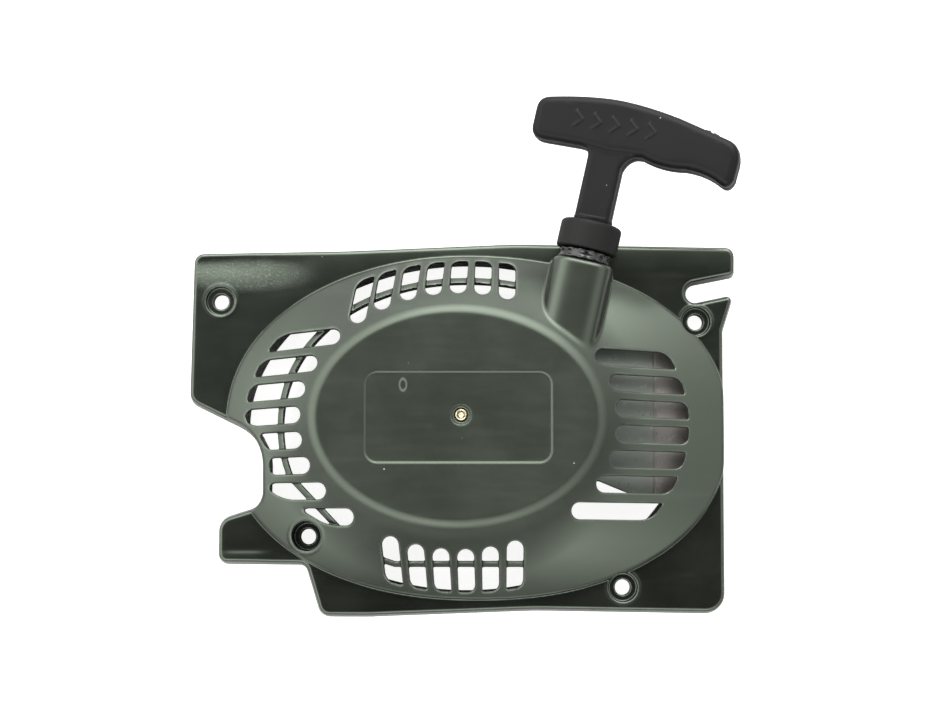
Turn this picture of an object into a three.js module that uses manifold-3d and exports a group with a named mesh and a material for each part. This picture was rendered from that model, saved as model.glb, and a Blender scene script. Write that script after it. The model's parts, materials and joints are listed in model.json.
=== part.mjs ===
// Recoil starter of a small two-stroke engine: slotted cover, rope reel, spring, rope and T-handle.
//
// Everything is designed in millimetres in the reel's frame: the reel turns about the Z axis, the cover's
// rear rim lies on z = 0 and its front faces +Z. The last lines move the whole assembly so that the origin
// is the middle of its footprint on z = 0.

import * as THREE from 'three';
import { mergeVertices } from 'three/addons/utils/BufferGeometryUtils.js';
import Module from 'manifold-3d';

const wasm = await Module();
wasm.setup();

// ---------------------------------------------------------------- driving dimensions

const GAP = 0.3; // between pieces that touch
const WALL = 2.6; // moulded wall of the cover

const PLATE_TOP = 8;
const PLATE_FLOOR = 5;

// Ovals are |x/a|^power + |y/b|^power = 1 about (x, y).
const DOME_BASE = { x: 6.3, y: -3.5, a: 97.4, b: 66, power: 2.2 };
const DOME_BROW = { x: -1.9, y: 0, a: 57.2, b: 43.5, power: 2 };
const PLATEAU = { x: -1.3, y: -0.7, a: 53.4, b: 38.8, power: 2 };
const DOME_BASE_Z = 12.5;
const DOME_BROW_Z = 30.5;
const PLATEAU_Z = 37;

const LABEL = { x: -1, y: -0.9, width: 70.5, height: 34.2, radius: 4.7, depth: 0.4 };
const DIMPLE = { radius: 4, depth: 0.6 };

// Corners of the flange plate, counter-clockwise: x, y, corner radius.
const PLATE_OUTLINE = [
  [101.6, -74.4, 7],
  [101.7, 35.2, 3],
  [105.9, 48.3, 1.2],
  [88.3, 44.5, 4.4],
  [86.4, 53.2, 4.4],
  [106.4, 57.1, 1.6],
  [106.5, 67.2, 3],
  [20, 68.6, 200],
  [-45, 65.9, 90],
  [-104.4, 64.8, 3.4],
  [-105.6, 7.5, 5],
  [-75.9, -7, 18],
  [-76.4, -33.8, 8],
  [-93.8, -39.3, 5.5],
  [-93.8, -55.1, 3],
  [-60, -55.5, 4],
  [-54, -75.5, 4],
  [-36, -75.6, 40],
  [28, -73.2, 200],
];

// Screw tubes: M5 clearance holes. The last one stands in the dome's flank, its mouth follows the dome.
const SCREW_TUBES = [
  { x: -94.2, y: 46.3, top: PLATE_TOP },
  { x: 91.5, y: 38.3, top: PLATE_TOP },
  { x: 62.5, y: -65, top: PLATE_TOP },
  { x: -59.5, y: -45.4, top: 24 },
];
const TUBE_RADIUS = 6.9;
const SCREW_HOLE_RADIUS = 3;
const SCREW_RECESS_RADIUS = 5.65;
const SCREW_SEAT_Z = 5.2;

// Air slots: stripes between two ovals, fanned out a little. `across` is the axis along which they repeat,
// `tilt` the lean of the first one in degrees, `shift` how much the first one is moved towards the second.
const SLOT_WIDTH = 6.35;
const SLOT_INNER = { x: -1, y: -1.75, a: 60, b: 48.7, power: 2 };
const SLOT_OUTER = { x: 2.1, y: -2.8, a: 85.3, b: 63.9, power: 2 };
const SLOT_FAMILIES = [
  { across: 'x', side: 1, count: 7, first: -38.4, pitch: 9.35, at: 53, tilt: 8.5, tiltStep: -1.2, shift: 1.2 },
  { across: 'x', side: -1, count: 6, first: -26.2, pitch: 9.35, at: -57, tilt: 5, tiltStep: -1, shift: 0 },
  { across: 'y', side: 1, count: 7, first: 22, pitch: -9.6, at: 73, tilt: 1.6, tiltStep: -0.2, shift: 0 },
  { across: 'y', side: -1, count: 8, first: 29.2, pitch: -9.6, at: -66, tilt: 3.6, tiltStep: -0.6, shift: 0 },
];
const NOTCH_GUARD = { x: -96.7, y: -21, radius: 23.8 }; // the slots stop short of the half-round notch
const TUBE_GUARD = [[-78, -25.4], [-42, -46.7]]; // and of the tube in the flank

// The fan shroud rib: an oval with two straight runs, along the bottom and across the lower left. On the
// lower right, beyond the corner, it goes on to the slot wall.
const SHROUD_RIB = { x: 2.4, y: -3.5, a: 72.6, b: 57.5, power: 2.1, thickness: 2.4, bottom: 4 };
const RIB_RUNS = { floor: -57.2, left: [-66.5, -23.4], right: [-34.5, -57.2] };
const RIB_CORNER = { x: 20, y: -20 };
const SLOT_WALL_THICKNESS = 2;
const SLOT_WALL_BOTTOM = 1.5;

// Rope line: the rope leaves the reel on a tangent and runs straight through the boss to the handle.
const ROPE_RADIUS = 1.8;
const ROPE_ANGLE = THREE.MathUtils.degToRad(-12.73);
const ROPE_OFFSET = 32.8;
const ROPE_Z = 21.5;
const BOSS = { radius: 11.9, start: 42, end: 68.4, bore: 7.3, mouth: 3.6, throat: 46 };
const BUSH = { radius: 7, bore: 2.7, flange: 10.4, flangeEnd: 72.8, start: 47 };

const COLLAR = { radius: 11.8, start: 73.1, end: 84, edge: 2 };
const HANDLE_ROLL = THREE.MathUtils.degToRad(-11);
const GRIP_THICKNESS = 13;
const GRIP_BEVEL = 2.4;
const STEM = { width: 13.5, spigot: 5.4, spigotDepth: 9.6, baseRadius: 7.6, baseHeight: 2.2, bore: 2.4 };
const KNOT_POCKET = { bottom: 30, top: 42.5, width: 10.4, floor: 4.9 };

const POST = { radius: 6.1, bottom: 12.7 };
const INSERT = { radius: 3.3, neck: 2.3, shoulder: 32, front: 36.3, bore: 2.1, boreEnd: 31, pin: 1.1 };
const HOUSING_BORE_GAP = 0.35;
const SCREW_HEAD = { radius: 5, bottom: 7.9, top: 10.8 };
const SCREW_SHANK = { radius: 1.8, top: 29 };
const WASHER = { radius: 9.2, bottom: 11.1, top: 12.4, bore: 2.2 };

const PULLEY = {
  bore: 6.45, hub: 11, hubBottom: 12.9, hubTop: 33, outer: 38, rear: 16, front: 27,
  flange: 1.5, grooveFloor: 27.5, rim: 24.8, webBottom: 20.6, webTop: 23.2,
};
const DOG = { count: 4, inner: 14, outer: 19.5, sweep: 46, bottom: 6.6 };
const WEB_HOLE = { count: 4, radius: 3.1, at: 18 };
const KNOT_HOLE = { radius: 2.4, angle: -28, z: 18.6 };

const SPRING_CASE = { outer: 34, wall: 1.4, bottom: 27.7, top: 34.1, floor: 1, bore: 11.5 };
const CASE_EAR = { reach: 46.5, halfWidth: 4.4, top: 29.3, screwAt: 42.2 };
const SPRING = { inner: 12.2, outer: 31.2, strip: 1.6, turns: 4, bottom: 28, top: 32.6 };

const BAFFLE = { drop: 3.6, thickness: 1.8, right: 92.5, top: 35, bottom: -30.6, left: 55 };
const BAFFLE_CUT = [[52.6, -24.6], [64.5, -29.2]]; // the plate's slanted lower-left edge
const BAFFLE_SCREWS = [[90, 13.5], [90, -17], [68, 30.6]];
const SMALL_SCREW = { head: 2.8, headHeight: 1.8, shank: 1.25, pilot: 1.6, length: 5 };

const FINE = 40; // facets round the ovals

// ---------------------------------------------------------------- materials

const plastic = (color, roughness) => new THREE.MeshStandardMaterial({ color, roughness, metalness: 0 });
const metal = (color, roughness) => new THREE.MeshStandardMaterial({ color, roughness, metalness: 1 });

const MATERIALS = {
  cover: plastic(0x4c544e, 0.5),
  grip: plastic(0x26272a, 0.55),
  collar: plastic(0x242424, 0.75),
  bush: plastic(0x121212, 0.25),
  reel: plastic(0x1d1f20, 0.5),
  baffle: plastic(0x6b665c, 0.7),
  rope: plastic(0xd8d4c6, 0.9),
  steel: metal(0xb9bbbc, 0.35),
  brass: metal(0xb08a4a, 0.35),
  spring: metal(0x6d6f74, 0.3),
};

// ---------------------------------------------------------------- solids

/** A closed three.js geometry as a solid that can be joined and cut. */
function solid(geometry) {
  const bare = geometry.clone();
  bare.deleteAttribute('normal');
  bare.deleteAttribute('uv');
  const merged = mergeVertices(bare, 1e-4);
  return new wasm.Manifold(new wasm.Mesh({
    numProp: 3,
    vertProperties: new Float32Array(merged.attributes.position.array),
    triVerts: new Uint32Array(merged.index.array),
  }));
}

/** The geometry of a solid, with slivers removed. */
function geometryOf(body) {
  const { vertProperties, triVerts } = body.simplify(0.05).getMesh();
  const geometry = new THREE.BufferGeometry();
  geometry.setAttribute('position', new THREE.BufferAttribute(new Float32Array(vertProperties), 3));
  geometry.setIndex(new THREE.BufferAttribute(new Uint32Array(triVerts), 1));
  geometry.computeVertexNormals();
  return geometry;
}

const union = (parts) => parts.reduce((sum, part) => sum.add(part));

/** A shape extruded from z0 to z1. */
function prism(shape, z0, z1) {
  const geometry = new THREE.ExtrudeGeometry(shape, { depth: z1 - z0, bevelEnabled: false, curveSegments: 8 });
  return solid(geometry.translate(0, 0, z0));
}

const polygon = (points) => new THREE.Shape(points.map(([x, y]) => new THREE.Vector2(x, y)));

function circle(x, y, radius, facets = 24) {
  return polygon(Array.from({ length: facets }, (_, i) => {
    const angle = (i / facets) * 2 * Math.PI;
    return [x + radius * Math.cos(angle), y + radius * Math.sin(angle)];
  }));
}

const disc = (x, y, radius, z0, z1, facets) => prism(circle(x, y, radius, facets), z0, z1);

/** A solid of revolution about Z from [radius, z] points, given in either order. */
function turned(points, facets = 48) {
  const profile = points.map(([radius, z]) => new THREE.Vector2(radius, z));
  if (THREE.ShapeUtils.area(profile) < 0) profile.reverse();
  profile.push(profile[0]);
  return solid(new THREE.LatheGeometry(profile, facets).rotateX(Math.PI / 2));
}

/** The same, turned about the rope line (local Y). */
const turnedAlong = (points, facets) => turned(points, facets).rotate([-90, 0, 0]);

function box(x0, x1, y0, y1, z0, z1) {
  const geometry = new THREE.BoxGeometry(x1 - x0, y1 - y0, z1 - z0);
  return solid(geometry.translate((x0 + x1) / 2, (y0 + y1) / 2, (z0 + z1) / 2));
}

// ---------------------------------------------------------------- outlines

/** Corners of a counter-clockwise outline moved inwards by `inset`, with their radii to match. */
function insetCorners(corners, inset) {
  return corners.map(([x, y, radius], i) => {
    const here = new THREE.Vector2(x, y);
    const before = new THREE.Vector2(...corners.at(i - 1));
    const after = new THREE.Vector2(...corners[(i + 1) % corners.length]);
    const arriving = here.clone().sub(before).normalize();
    const leaving = after.sub(here).normalize();
    const shift = inset / (1 + arriving.dot(leaving));
    const convex = arriving.cross(leaving) > 0;
    return [
      x - (arriving.y + leaving.y) * shift,
      y + (arriving.x + leaving.x) * shift,
      convex ? Math.max(radius - inset, 0.5) : radius + inset,
    ];
  });
}

/** A closed outline with each corner rounded to its own radius. */
function roundedOutline(corners, stepDegrees = 22) {
  const points = [];
  corners.forEach(([x, y, radius], i) => {
    const here = new THREE.Vector2(x, y);
    const arriving = here.clone().sub(new THREE.Vector2(...corners.at(i - 1))).normalize();
    const leaving = new THREE.Vector2(...corners[(i + 1) % corners.length]).sub(here).normalize();
    const turn = Math.atan2(arriving.cross(leaving), arriving.dot(leaving));
    const side = Math.sign(turn);
    const tangent = radius * Math.tan(Math.abs(turn) / 2);
    const start = here.clone().addScaledVector(arriving, -tangent);
    const centre = start.clone().add(new THREE.Vector2(-arriving.y, arriving.x).multiplyScalar(side * radius));
    const steps = Math.max(2, Math.ceil(THREE.MathUtils.radToDeg(Math.abs(turn)) / stepDegrees));
    for (let k = 0; k <= steps; k += 1) {
      const point = start.clone().rotateAround(centre, (turn * k) / steps);
      points.push([point.x, point.y]);
    }
  });
  return polygon(points);
}

/** A point of an oval at a parameter angle. */
function ovalPoint(oval, angle) {
  const cos = Math.cos(angle);
  const sin = Math.sin(angle);
  const exponent = 2 / oval.power;
  return [
    oval.x + oval.a * Math.sign(cos) * Math.abs(cos) ** exponent,
    oval.y + oval.b * Math.sign(sin) * Math.abs(sin) ** exponent,
  ];
}

const ovalOutline = (oval) => polygon(
  Array.from({ length: FINE }, (_, i) => ovalPoint(oval, (i / FINE) * 2 * Math.PI)),
);

const shrunk = (oval, by) => ({ ...oval, a: oval.a - by, b: oval.b - by });

function blendOval(from, to, t) {
  const mix = (key) => THREE.MathUtils.lerp(from[key], to[key], t);
  return { x: mix('x'), y: mix('y'), a: mix('a'), b: mix('b'), power: mix('power') };
}

// ---------------------------------------------------------------- the cover

/** A solid lofted through ovals, from the lowest level to the highest. */
function loft(levels) {
  const positions = [];
  const index = [];
  levels.forEach(({ oval, z }) => {
    for (let i = 0; i < FINE; i += 1) {
      positions.push(...ovalPoint(oval, (i / FINE) * 2 * Math.PI), z);
    }
  });
  for (let level = 0; level < levels.length - 1; level += 1) {
    for (let i = 0; i < FINE; i += 1) {
      const a = level * FINE + i;
      const b = level * FINE + ((i + 1) % FINE);
      index.push(a, b, b + FINE, a, b + FINE, a + FINE);
    }
  }
  const ends = [levels[0], levels.at(-1)];
  ends.forEach(({ oval, z }, end) => {
    const centre = positions.length / 3;
    positions.push(oval.x, oval.y, z);
    const ring = end === 0 ? 0 : (levels.length - 1) * FINE;
    for (let i = 0; i < FINE; i += 1) {
      const a = ring + i;
      const b = ring + ((i + 1) % FINE);
      index.push(...(end === 0 ? [centre, b, a] : [centre, a, b]));
    }
  });
  const geometry = new THREE.BufferGeometry();
  geometry.setAttribute('position', new THREE.Float32BufferAttribute(positions, 3));
  geometry.setIndex(index);
  return solid(geometry);
}

/** The dome: a gently bulging slope from the base up to the brow, then a cove up to the plateau. */
function dome(inset, drop, bottom) {
  const base = shrunk(DOME_BASE, inset);
  const brow = shrunk(DOME_BROW, inset);
  const slope = [0, 0.35, 0.7, 1].map((t) => ({
    oval: blendOval(base, brow, t),
    z: THREE.MathUtils.lerp(DOME_BASE_Z, DOME_BROW_Z, t * (1.25 - 0.25 * t)) - drop,
  }));
  const top = shrunk(PLATEAU, inset / 2);
  const wall = [[0.55, 32.6], [1, PLATEAU_Z]].map(([t, z]) => ({
    oval: blendOval(brow, top, t),
    z: z - drop,
  }));
  return loft([{ oval: base, z: bottom }, ...slope, ...wall]);
}

/** Where a line from `start` along `direction` leaves an oval of power 2. */
function leaveOval(start, direction, oval) {
  const px = (start.x - oval.x) / oval.a;
  const py = (start.y - oval.y) / oval.b;
  const dx = direction.x / oval.a;
  const dy = direction.y / oval.b;
  const a = dx * dx + dy * dy;
  const b = px * dx + py * dy;
  const c = px * px + py * py - 1;
  return (-b + Math.sqrt(b * b - a * c)) / a;
}

/** One slot: a stripe with a round inner end that runs out past the outer oval. */
function slotStripe({ across, side, first, pitch, at, tilt, tiltStep, shift }, i) {
  const offset = first + pitch * i + (i === 0 ? shift : 0);
  const middle = across === 'x' ? new THREE.Vector2(offset, at) : new THREE.Vector2(at, offset);
  const direction = across === 'x' ? new THREE.Vector2(0, side) : new THREE.Vector2(side, 0);
  const lean = THREE.MathUtils.degToRad(tilt + tiltStep * i) * -side;
  direction.rotateAround(new THREE.Vector2(), lean);
  const half = SLOT_WIDTH / 2;
  const inside = middle.clone().addScaledVector(direction, -45);
  const inner = inside.clone().addScaledVector(direction, leaveOval(inside, direction, SLOT_INNER) + half);
  const outer = middle.clone().addScaledVector(direction, 45);
  const angle = direction.angle();
  const points = [];
  for (let k = 0; k <= 4; k += 1) {
    const turn = angle + Math.PI / 2 + (Math.PI * k) / 4;
    points.push([inner.x + half * Math.cos(turn), inner.y + half * Math.sin(turn)]);
  }
  const normal = new THREE.Vector2(-direction.y, direction.x).multiplyScalar(half);
  points.push([outer.x - normal.x, outer.y - normal.y], [outer.x + normal.x, outer.y + normal.y]);
  return prism(polygon(points), 0, 50);
}

function airSlots() {
  const stripes = SLOT_FAMILIES.flatMap((family) => (
    Array.from({ length: family.count }, (_, i) => slotStripe(family, i))
  ));
  const [from, to] = TUBE_GUARD;
  const behindGuard = prism(polygon([from, [from[0], -90], [to[0], -90], to]), 0, 50);
  return union(stripes)
    .intersect(prism(ovalOutline(SLOT_OUTER), 0, 50))
    .subtract(disc(NOTCH_GUARD.x, NOTCH_GUARD.y, NOTCH_GUARD.radius, 0, 50, 24))
    .subtract(behindGuard);
}

const ovalRing = (oval, thickness, z0, z1) => (
  prism(ovalOutline(oval), z0, z1).subtract(prism(ovalOutline(shrunk(oval, thickness)), z0 - 1, z1 + 1))
);

/** The inside of the shroud rib's path, moved in by `inset`. */
function ribField(inset, z0, z1) {
  const { floor, left, right } = RIB_RUNS;
  const along = new THREE.Vector2(right[0] - left[0], right[1] - left[1]).normalize();
  const inward = new THREE.Vector2(-along.y, along.x).multiplyScalar(inset);
  const runs = polygon([
    [right[0] + inward.x - along.x * 20, floor + inset - along.y * 20], [right[0] + inset * 0.4, floor + inset],
    [100, floor + inset], [100, 80], [-100, 80],
    [left[0] + inward.x - along.x * 40, left[1] + inward.y - along.y * 40],
  ]);
  const cornerTop = RIB_CORNER.y - inset;
  const corner = polygon([[RIB_CORNER.x, -90], [100, -90], [100, cornerTop], [RIB_CORNER.x, cornerTop]]);
  return prism(ovalOutline(shrunk(SHROUD_RIB, inset)), z0, z1)
    .add(prism(corner, z0, z1))
    .intersect(prism(runs, z0, z1));
}

/** The outline of the air baffle plate, grown by `grow`. */
function bafflePlan(grow) {
  const [upper, lower] = BAFFLE_CUT;
  const { left, right, top, bottom } = BAFFLE;
  return polygon([
    [left - 10 - grow, upper[1] - grow],
    [upper[0], upper[1] - grow],
    [lower[0] - grow, lower[1] - grow],
    [lower[0] + 3, bottom - grow],
    [right - 8, bottom - grow],
    [right + grow, bottom + 9],
    [right + grow, 20],
    [left + 20, top + grow],
    [left - 10 - grow, top + grow],
  ]);
}

const ROPE_ROTATION = [0, 0, THREE.MathUtils.radToDeg(ROPE_ANGLE)];
const ROPE_POSITION = new THREE.Vector3(ROPE_OFFSET, 0, ROPE_Z).applyAxisAngle(
  new THREE.Vector3(0, 0, 1), ROPE_ANGLE,
);

/** A solid built about the rope line, moved into the reel's frame. */
const onRopeLine = (body) => body.rotate(ROPE_ROTATION).translate(ROPE_POSITION.toArray());

/** The rope boss: a round barrel on straight sides that reach down to the plate. */
function ropeBoss() {
  const { radius, start, end } = BOSS;
  const edge = 1.6;
  const barrel = turnedAlong([
    [0, start], [0, end], [radius - edge, end], [radius - 0.4, end - 0.5], [radius, end - edge], [radius, start],
  ], 24);
  const sides = box(-radius, radius, start + 4, end - 0.6, PLATE_FLOOR - ROPE_Z, 0);
  return onRopeLine(barrel.add(sides));
}

/** What is cut out of the boss: the bush's bore, the rope's way in, and a core under the barrel. */
function bossBore() {
  const { bore, mouth, throat, start, end } = BOSS;
  const passage = turnedAlong([
    [0, start - 6], [0, end + 2], [bore, end + 2], [bore, throat], [mouth, throat], [mouth, start - 6],
  ], 16);
  const core = box(-8.4, 8.4, start + 8, end - 3.4, -ROPE_Z - 1, -9.6);
  return onRopeLine(passage.add(core));
}

/** Posts on the dome's underside that the air baffle plate is screwed to. */
function bafflePosts() {
  const underside = dome(WALL, WALL + BAFFLE.drop - GAP, 0);
  const posts = BAFFLE_SCREWS.map(([x, y]) => disc(x, y, 3.4, 6, 34, 10));
  return union(posts).intersect(dome(1, 1, 0)).subtract(underside);
}

function starterHousing() {
  const skin = dome(0, 0, PLATE_FLOOR);
  const outline = prism(roundedOutline(PLATE_OUTLINE), -1, 50);
  const insideOutline = prism(roundedOutline(insetCorners(PLATE_OUTLINE, WALL)), -1, 50);
  const cavity = dome(WALL, WALL, -2);

  const plate = prism(roundedOutline(PLATE_OUTLINE), 0, PLATE_TOP);
  const pan = prism(roundedOutline(insetCorners(PLATE_OUTLINE, WALL)), -1, PLATE_FLOOR);
  const shell = plate.add(skin.intersect(outline)).subtract(pan).subtract(cavity.intersect(insideOutline));

  const slotWall = ovalRing(shrunk(SLOT_OUTER, -SLOT_WALL_THICKNESS), SLOT_WALL_THICKNESS, SLOT_WALL_BOTTOM, 40);
  const rib = ribField(0, SHROUD_RIB.bottom, 40)
    .subtract(ribField(SHROUD_RIB.thickness, 0, 41))
    .intersect(prism(ovalOutline(shrunk(SLOT_OUTER, -SLOT_WALL_THICKNESS / 2)), 0, 41));
  const aboveBaffle = prism(bafflePlan(1.5), -1, 50).subtract(dome(WALL, WALL + BAFFLE.drop + 2.6, -3));
  const intoWall = prism(roundedOutline(insetCorners(PLATE_OUTLINE, WALL / 2)), -1, 50);
  const walls = slotWall.intersect(intoWall).add(rib)
    .intersect(dome(1, 1, -2))
    .subtract(aboveBaffle);

  const tubes = SCREW_TUBES.map(({ x, y, top }) => disc(x, y, TUBE_RADIUS, 0, top, 16));
  const casePosts = [-1, 1].map((side) => disc(side * CASE_EAR.screwAt, 0, 3.6, CASE_EAR.top + GAP, 35.5, 10));
  const post = disc(0, 0, POST.radius, POST.bottom, 35.5, 20);
  const screwBores = SCREW_TUBES.flatMap(({ x, y }) => [
    disc(x, y, SCREW_HOLE_RADIUS, -1, 50, 14),
    disc(x, y, SCREW_RECESS_RADIUS, SCREW_SEAT_Z, 50, 16),
  ]);
  const tubeSolids = union(tubes).intersect(plate.add(skin));
  const rounded = (inset, z0, z1) => {
    const { x, y, width, height, radius } = LABEL;
    const w = width / 2 - inset;
    const h = height / 2 - inset;
    const corners = [[x + w, y - h], [x + w, y + h], [x - w, y + h], [x - w, y - h]];
    return prism(roundedOutline(corners.map(([cx, cy]) => [cx, cy, radius - inset])), z0, z1);
  };
  const insertHole = turned([
    [0, 10], [INSERT.radius + HOUSING_BORE_GAP, 10],
    [INSERT.radius + HOUSING_BORE_GAP, INSERT.shoulder + GAP],
    [INSERT.neck + HOUSING_BORE_GAP, INSERT.shoulder + GAP], [INSERT.neck + HOUSING_BORE_GAP, 40], [0, 40],
  ], 16);

  const cuts = union([
    ...screwBores,
    bossBore(),
    insertHole,
    rounded(0, PLATEAU_Z - LABEL.depth, 40),
    disc(0, 0, DIMPLE.radius, PLATEAU_Z - DIMPLE.depth, 40, 16),
    ...[-1, 1].map((side) => disc(side * CASE_EAR.screwAt, 0, SMALL_SCREW.pilot, 20, 34, 8)),
    ...BAFFLE_SCREWS.map(([x, y]) => disc(x, y, SMALL_SCREW.pilot, 0, baffleUnderside(x, y) + SMALL_SCREW.length + 1, 8)),
  ]);
  const bossTrim = turned([[0, 0], [PULLEY.outer + 1.5, 0], [PULLEY.outer + 1.5, 33], [0, 33]], 48);
  const boss = ropeBoss().subtract(bossTrim);
  const slotted = shell.subtract(airSlots());
  return union([slotted, walls, tubeSolids, boss, post, ...casePosts, bafflePosts()]).subtract(cuts);
}

function airBafflePlate() {
  const upper = dome(WALL, WALL + BAFFLE.drop, -20);
  const lower = dome(WALL, WALL + BAFFLE.drop + BAFFLE.thickness, -20);
  const underSlope = prism(bafflePlan(0), 6, 31).subtract(prism(ovalOutline(shrunk(DOME_BROW, -0.6)), 0, 40));
  const holes = BAFFLE_SCREWS.map(([x, y]) => disc(x, y, SMALL_SCREW.pilot, 0, 40, 8));
  const bossRoom = onRopeLine(box(-13, 13, 40, 70, -30, 20));
  return upper.subtract(lower).intersect(underSlope).subtract(union(holes)).subtract(bossRoom);
}

// ---------------------------------------------------------------- reel, spring and their fasteners

function ropePulley() {
  const p = PULLEY;
  const reel = turned([
    [p.bore, p.hubBottom], [p.hub, p.hubBottom], [p.hub, p.webBottom], [p.rim, p.webBottom], [p.rim, p.rear],
    [p.outer, p.rear], [p.outer, p.rear + p.flange], [p.grooveFloor, p.rear + p.flange],
    [p.grooveFloor, p.front - p.flange], [p.outer, p.front - p.flange], [p.outer, p.front], [p.rim, p.front],
    [p.rim, p.webTop], [p.hub, p.webTop], [p.hub - 0.4, p.hubTop], [p.bore, p.hubTop],
  ], 32);
  const dogs = Array.from({ length: DOG.count }, (_, i) => {
    const from = THREE.MathUtils.degToRad((i * 360) / DOG.count);
    const sweep = THREE.MathUtils.degToRad(DOG.sweep);
    const arc = (radius, t) => [radius * Math.cos(from + sweep * t), radius * Math.sin(from + sweep * t)];
    const steps = [0, 0.5, 1];
    const inner = steps.map((t) => arc(DOG.inner, t)).reverse();
    return prism(polygon([...steps.map((t) => arc(DOG.outer, t)), ...inner]), DOG.bottom, p.webBottom + 0.5);
  });
  const webHoles = Array.from({ length: WEB_HOLE.count }, (_, i) => {
    const angle = ((i + 0.76) / WEB_HOLE.count) * 2 * Math.PI;
    return disc(WEB_HOLE.at * Math.cos(angle), WEB_HOLE.at * Math.sin(angle), WEB_HOLE.radius, 10, 30, 8);
  });
  const knotHole = disc(0, 0, KNOT_HOLE.radius, 20, 30, 8).rotate([0, 90, KNOT_HOLE.angle])
    .translate([0, 0, KNOT_HOLE.z]);
  return reel.add(union(dogs)).subtract(union(webHoles)).subtract(knotHole);
}

const ropeFloor = PULLEY.grooveFloor + GAP;
const innerLayer = ROPE_OFFSET - ROPE_RADIUS - GAP;
const outerLayer = ROPE_OFFSET + ROPE_RADIUS;

/** The wound rope: a full inner layer, and an outer layer that ends where the rope leaves on its tangent. */
function ropeWinding() {
  const low = PULLEY.rear + PULLEY.flange + GAP;
  const high = PULLEY.front - PULLEY.flange - GAP;
  const full = turned([[ropeFloor, low], [outerLayer, low], [outerLayer, high], [ropeFloor, high]], 48);
  const leaving = prism(polygon([
    [innerLayer - 4, -2.5], [outerLayer + 2, -2.5], [outerLayer + 6, 24], [innerLayer - 4, 24],
  ]), low - 1, high + 1).rotate(ROPE_ROTATION);
  const keepInner = disc(0, 0, innerLayer, low - 2, high + 2, 48);
  return full.subtract(leaving.subtract(keepInner));
}

function recoilSpring() {
  const { inner, outer, strip, turns, bottom, top } = SPRING;
  const steps = turns * 12;
  const point = (i, shift) => {
    const t = i / steps;
    const radius = THREE.MathUtils.lerp(inner, outer - strip, t) + shift;
    const angle = t * turns * 2 * Math.PI;
    return [radius * Math.cos(angle), radius * Math.sin(angle)];
  };
  const inside = Array.from({ length: steps + 1 }, (_, i) => point(i, 0)).reverse();
  const outside = Array.from({ length: steps + 1 }, (_, i) => point(i, strip));
  return prism(polygon([...outside, ...inside]), bottom, top);
}

function springCase() {
  const { outer, wall, bottom, top, floor, bore } = SPRING_CASE;
  const cup = turned([
    [bore, top - floor], [outer - wall, top - floor], [outer - wall, bottom],
    [outer, bottom], [outer, top], [bore, top],
  ], 32);
  const { reach, halfWidth, screwAt } = CASE_EAR;
  const ears = box(-reach, reach, -halfWidth, halfWidth, bottom, CASE_EAR.top)
    .subtract(disc(0, 0, outer - wall / 2, 20, 40, 32))
    .subtract(union([-1, 1].map((side) => disc(side * screwAt, 0, SMALL_SCREW.pilot, 20, 40, 8))));
  return cup.add(ears);
}

/** A pan-head screw seen from its head, which is down; `seat` is the underside of the head. */
function smallScrew(x, y, seat) {
  const { head, headHeight, shank, length } = SMALL_SCREW;
  const body = turned([
    [0, -headHeight], [head * 0.7, -headHeight], [head, -headHeight * 0.5], [head, 0], [shank, 0],
    [shank, length - 1], [0.4, length], [0, length],
  ], 10);
  const recess = box(-1.6, 1.6, -0.4, 0.4, -headHeight - 1, -headHeight * 0.45);
  return body.subtract(recess.add(recess.rotate([0, 0, 90]))).translate([x, y, seat]);
}

function pulleyScrew() {
  const body = turned([
    [0, SCREW_HEAD.bottom], [SCREW_HEAD.radius - 1, SCREW_HEAD.bottom],
    [SCREW_HEAD.radius, SCREW_HEAD.bottom + 1], [SCREW_HEAD.radius, SCREW_HEAD.top],
    [SCREW_SHANK.radius, SCREW_HEAD.top], [SCREW_SHANK.radius, SCREW_SHANK.top - 1],
    [SCREW_SHANK.radius - 0.8, SCREW_SHANK.top], [0, SCREW_SHANK.top],
  ], 16);
  const arm = box(-2.9, 2.9, -0.6, 0.6, SCREW_HEAD.bottom - 1, SCREW_HEAD.bottom + 1.8);
  return body.subtract(arm.add(arm.rotate([0, 0, 90])));
}

const pulleyWasher = () => turned([
  [WASHER.bore, WASHER.bottom], [WASHER.radius, WASHER.bottom],
  [WASHER.radius, WASHER.top], [WASHER.bore, WASHER.top],
], 20);

function postInsert() {
  const { radius, neck, shoulder, front, bore, boreEnd, pin } = INSERT;
  return turned([
    [bore, POST.bottom + GAP], [radius, POST.bottom + GAP], [radius, shoulder], [neck, shoulder], [neck, front],
    [pin, front], [pin, boreEnd], [bore, boreEnd],
  ], 14);
}

// ---------------------------------------------------------------- rope line pieces (local Y is the rope)

function ropeGuideBush() {
  const { radius, bore, flange, flangeEnd, start } = BUSH;
  const seat = BOSS.end + GAP;
  return turnedAlong([
    [bore + 0.8, start], [radius, start], [radius, seat], [flange, seat], [flange, flangeEnd - 1],
    [flange - 1, flangeEnd], [bore + 1.6, flangeEnd], [bore, flangeEnd - 1.6], [bore, start + 0.8],
  ], 20);
}

function handleCollar() {
  const { radius, start, end, edge } = COLLAR;
  const bore = STEM.spigot + GAP;
  return turnedAlong([
    [bore, start], [radius - 0.8, start], [radius, start + 0.8], [radius, end - edge],
    [radius - edge * 0.3, end - edge * 0.3], [radius - edge, end], [bore, end],
  ], 20).translate([0, -end, 0]);
}

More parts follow.
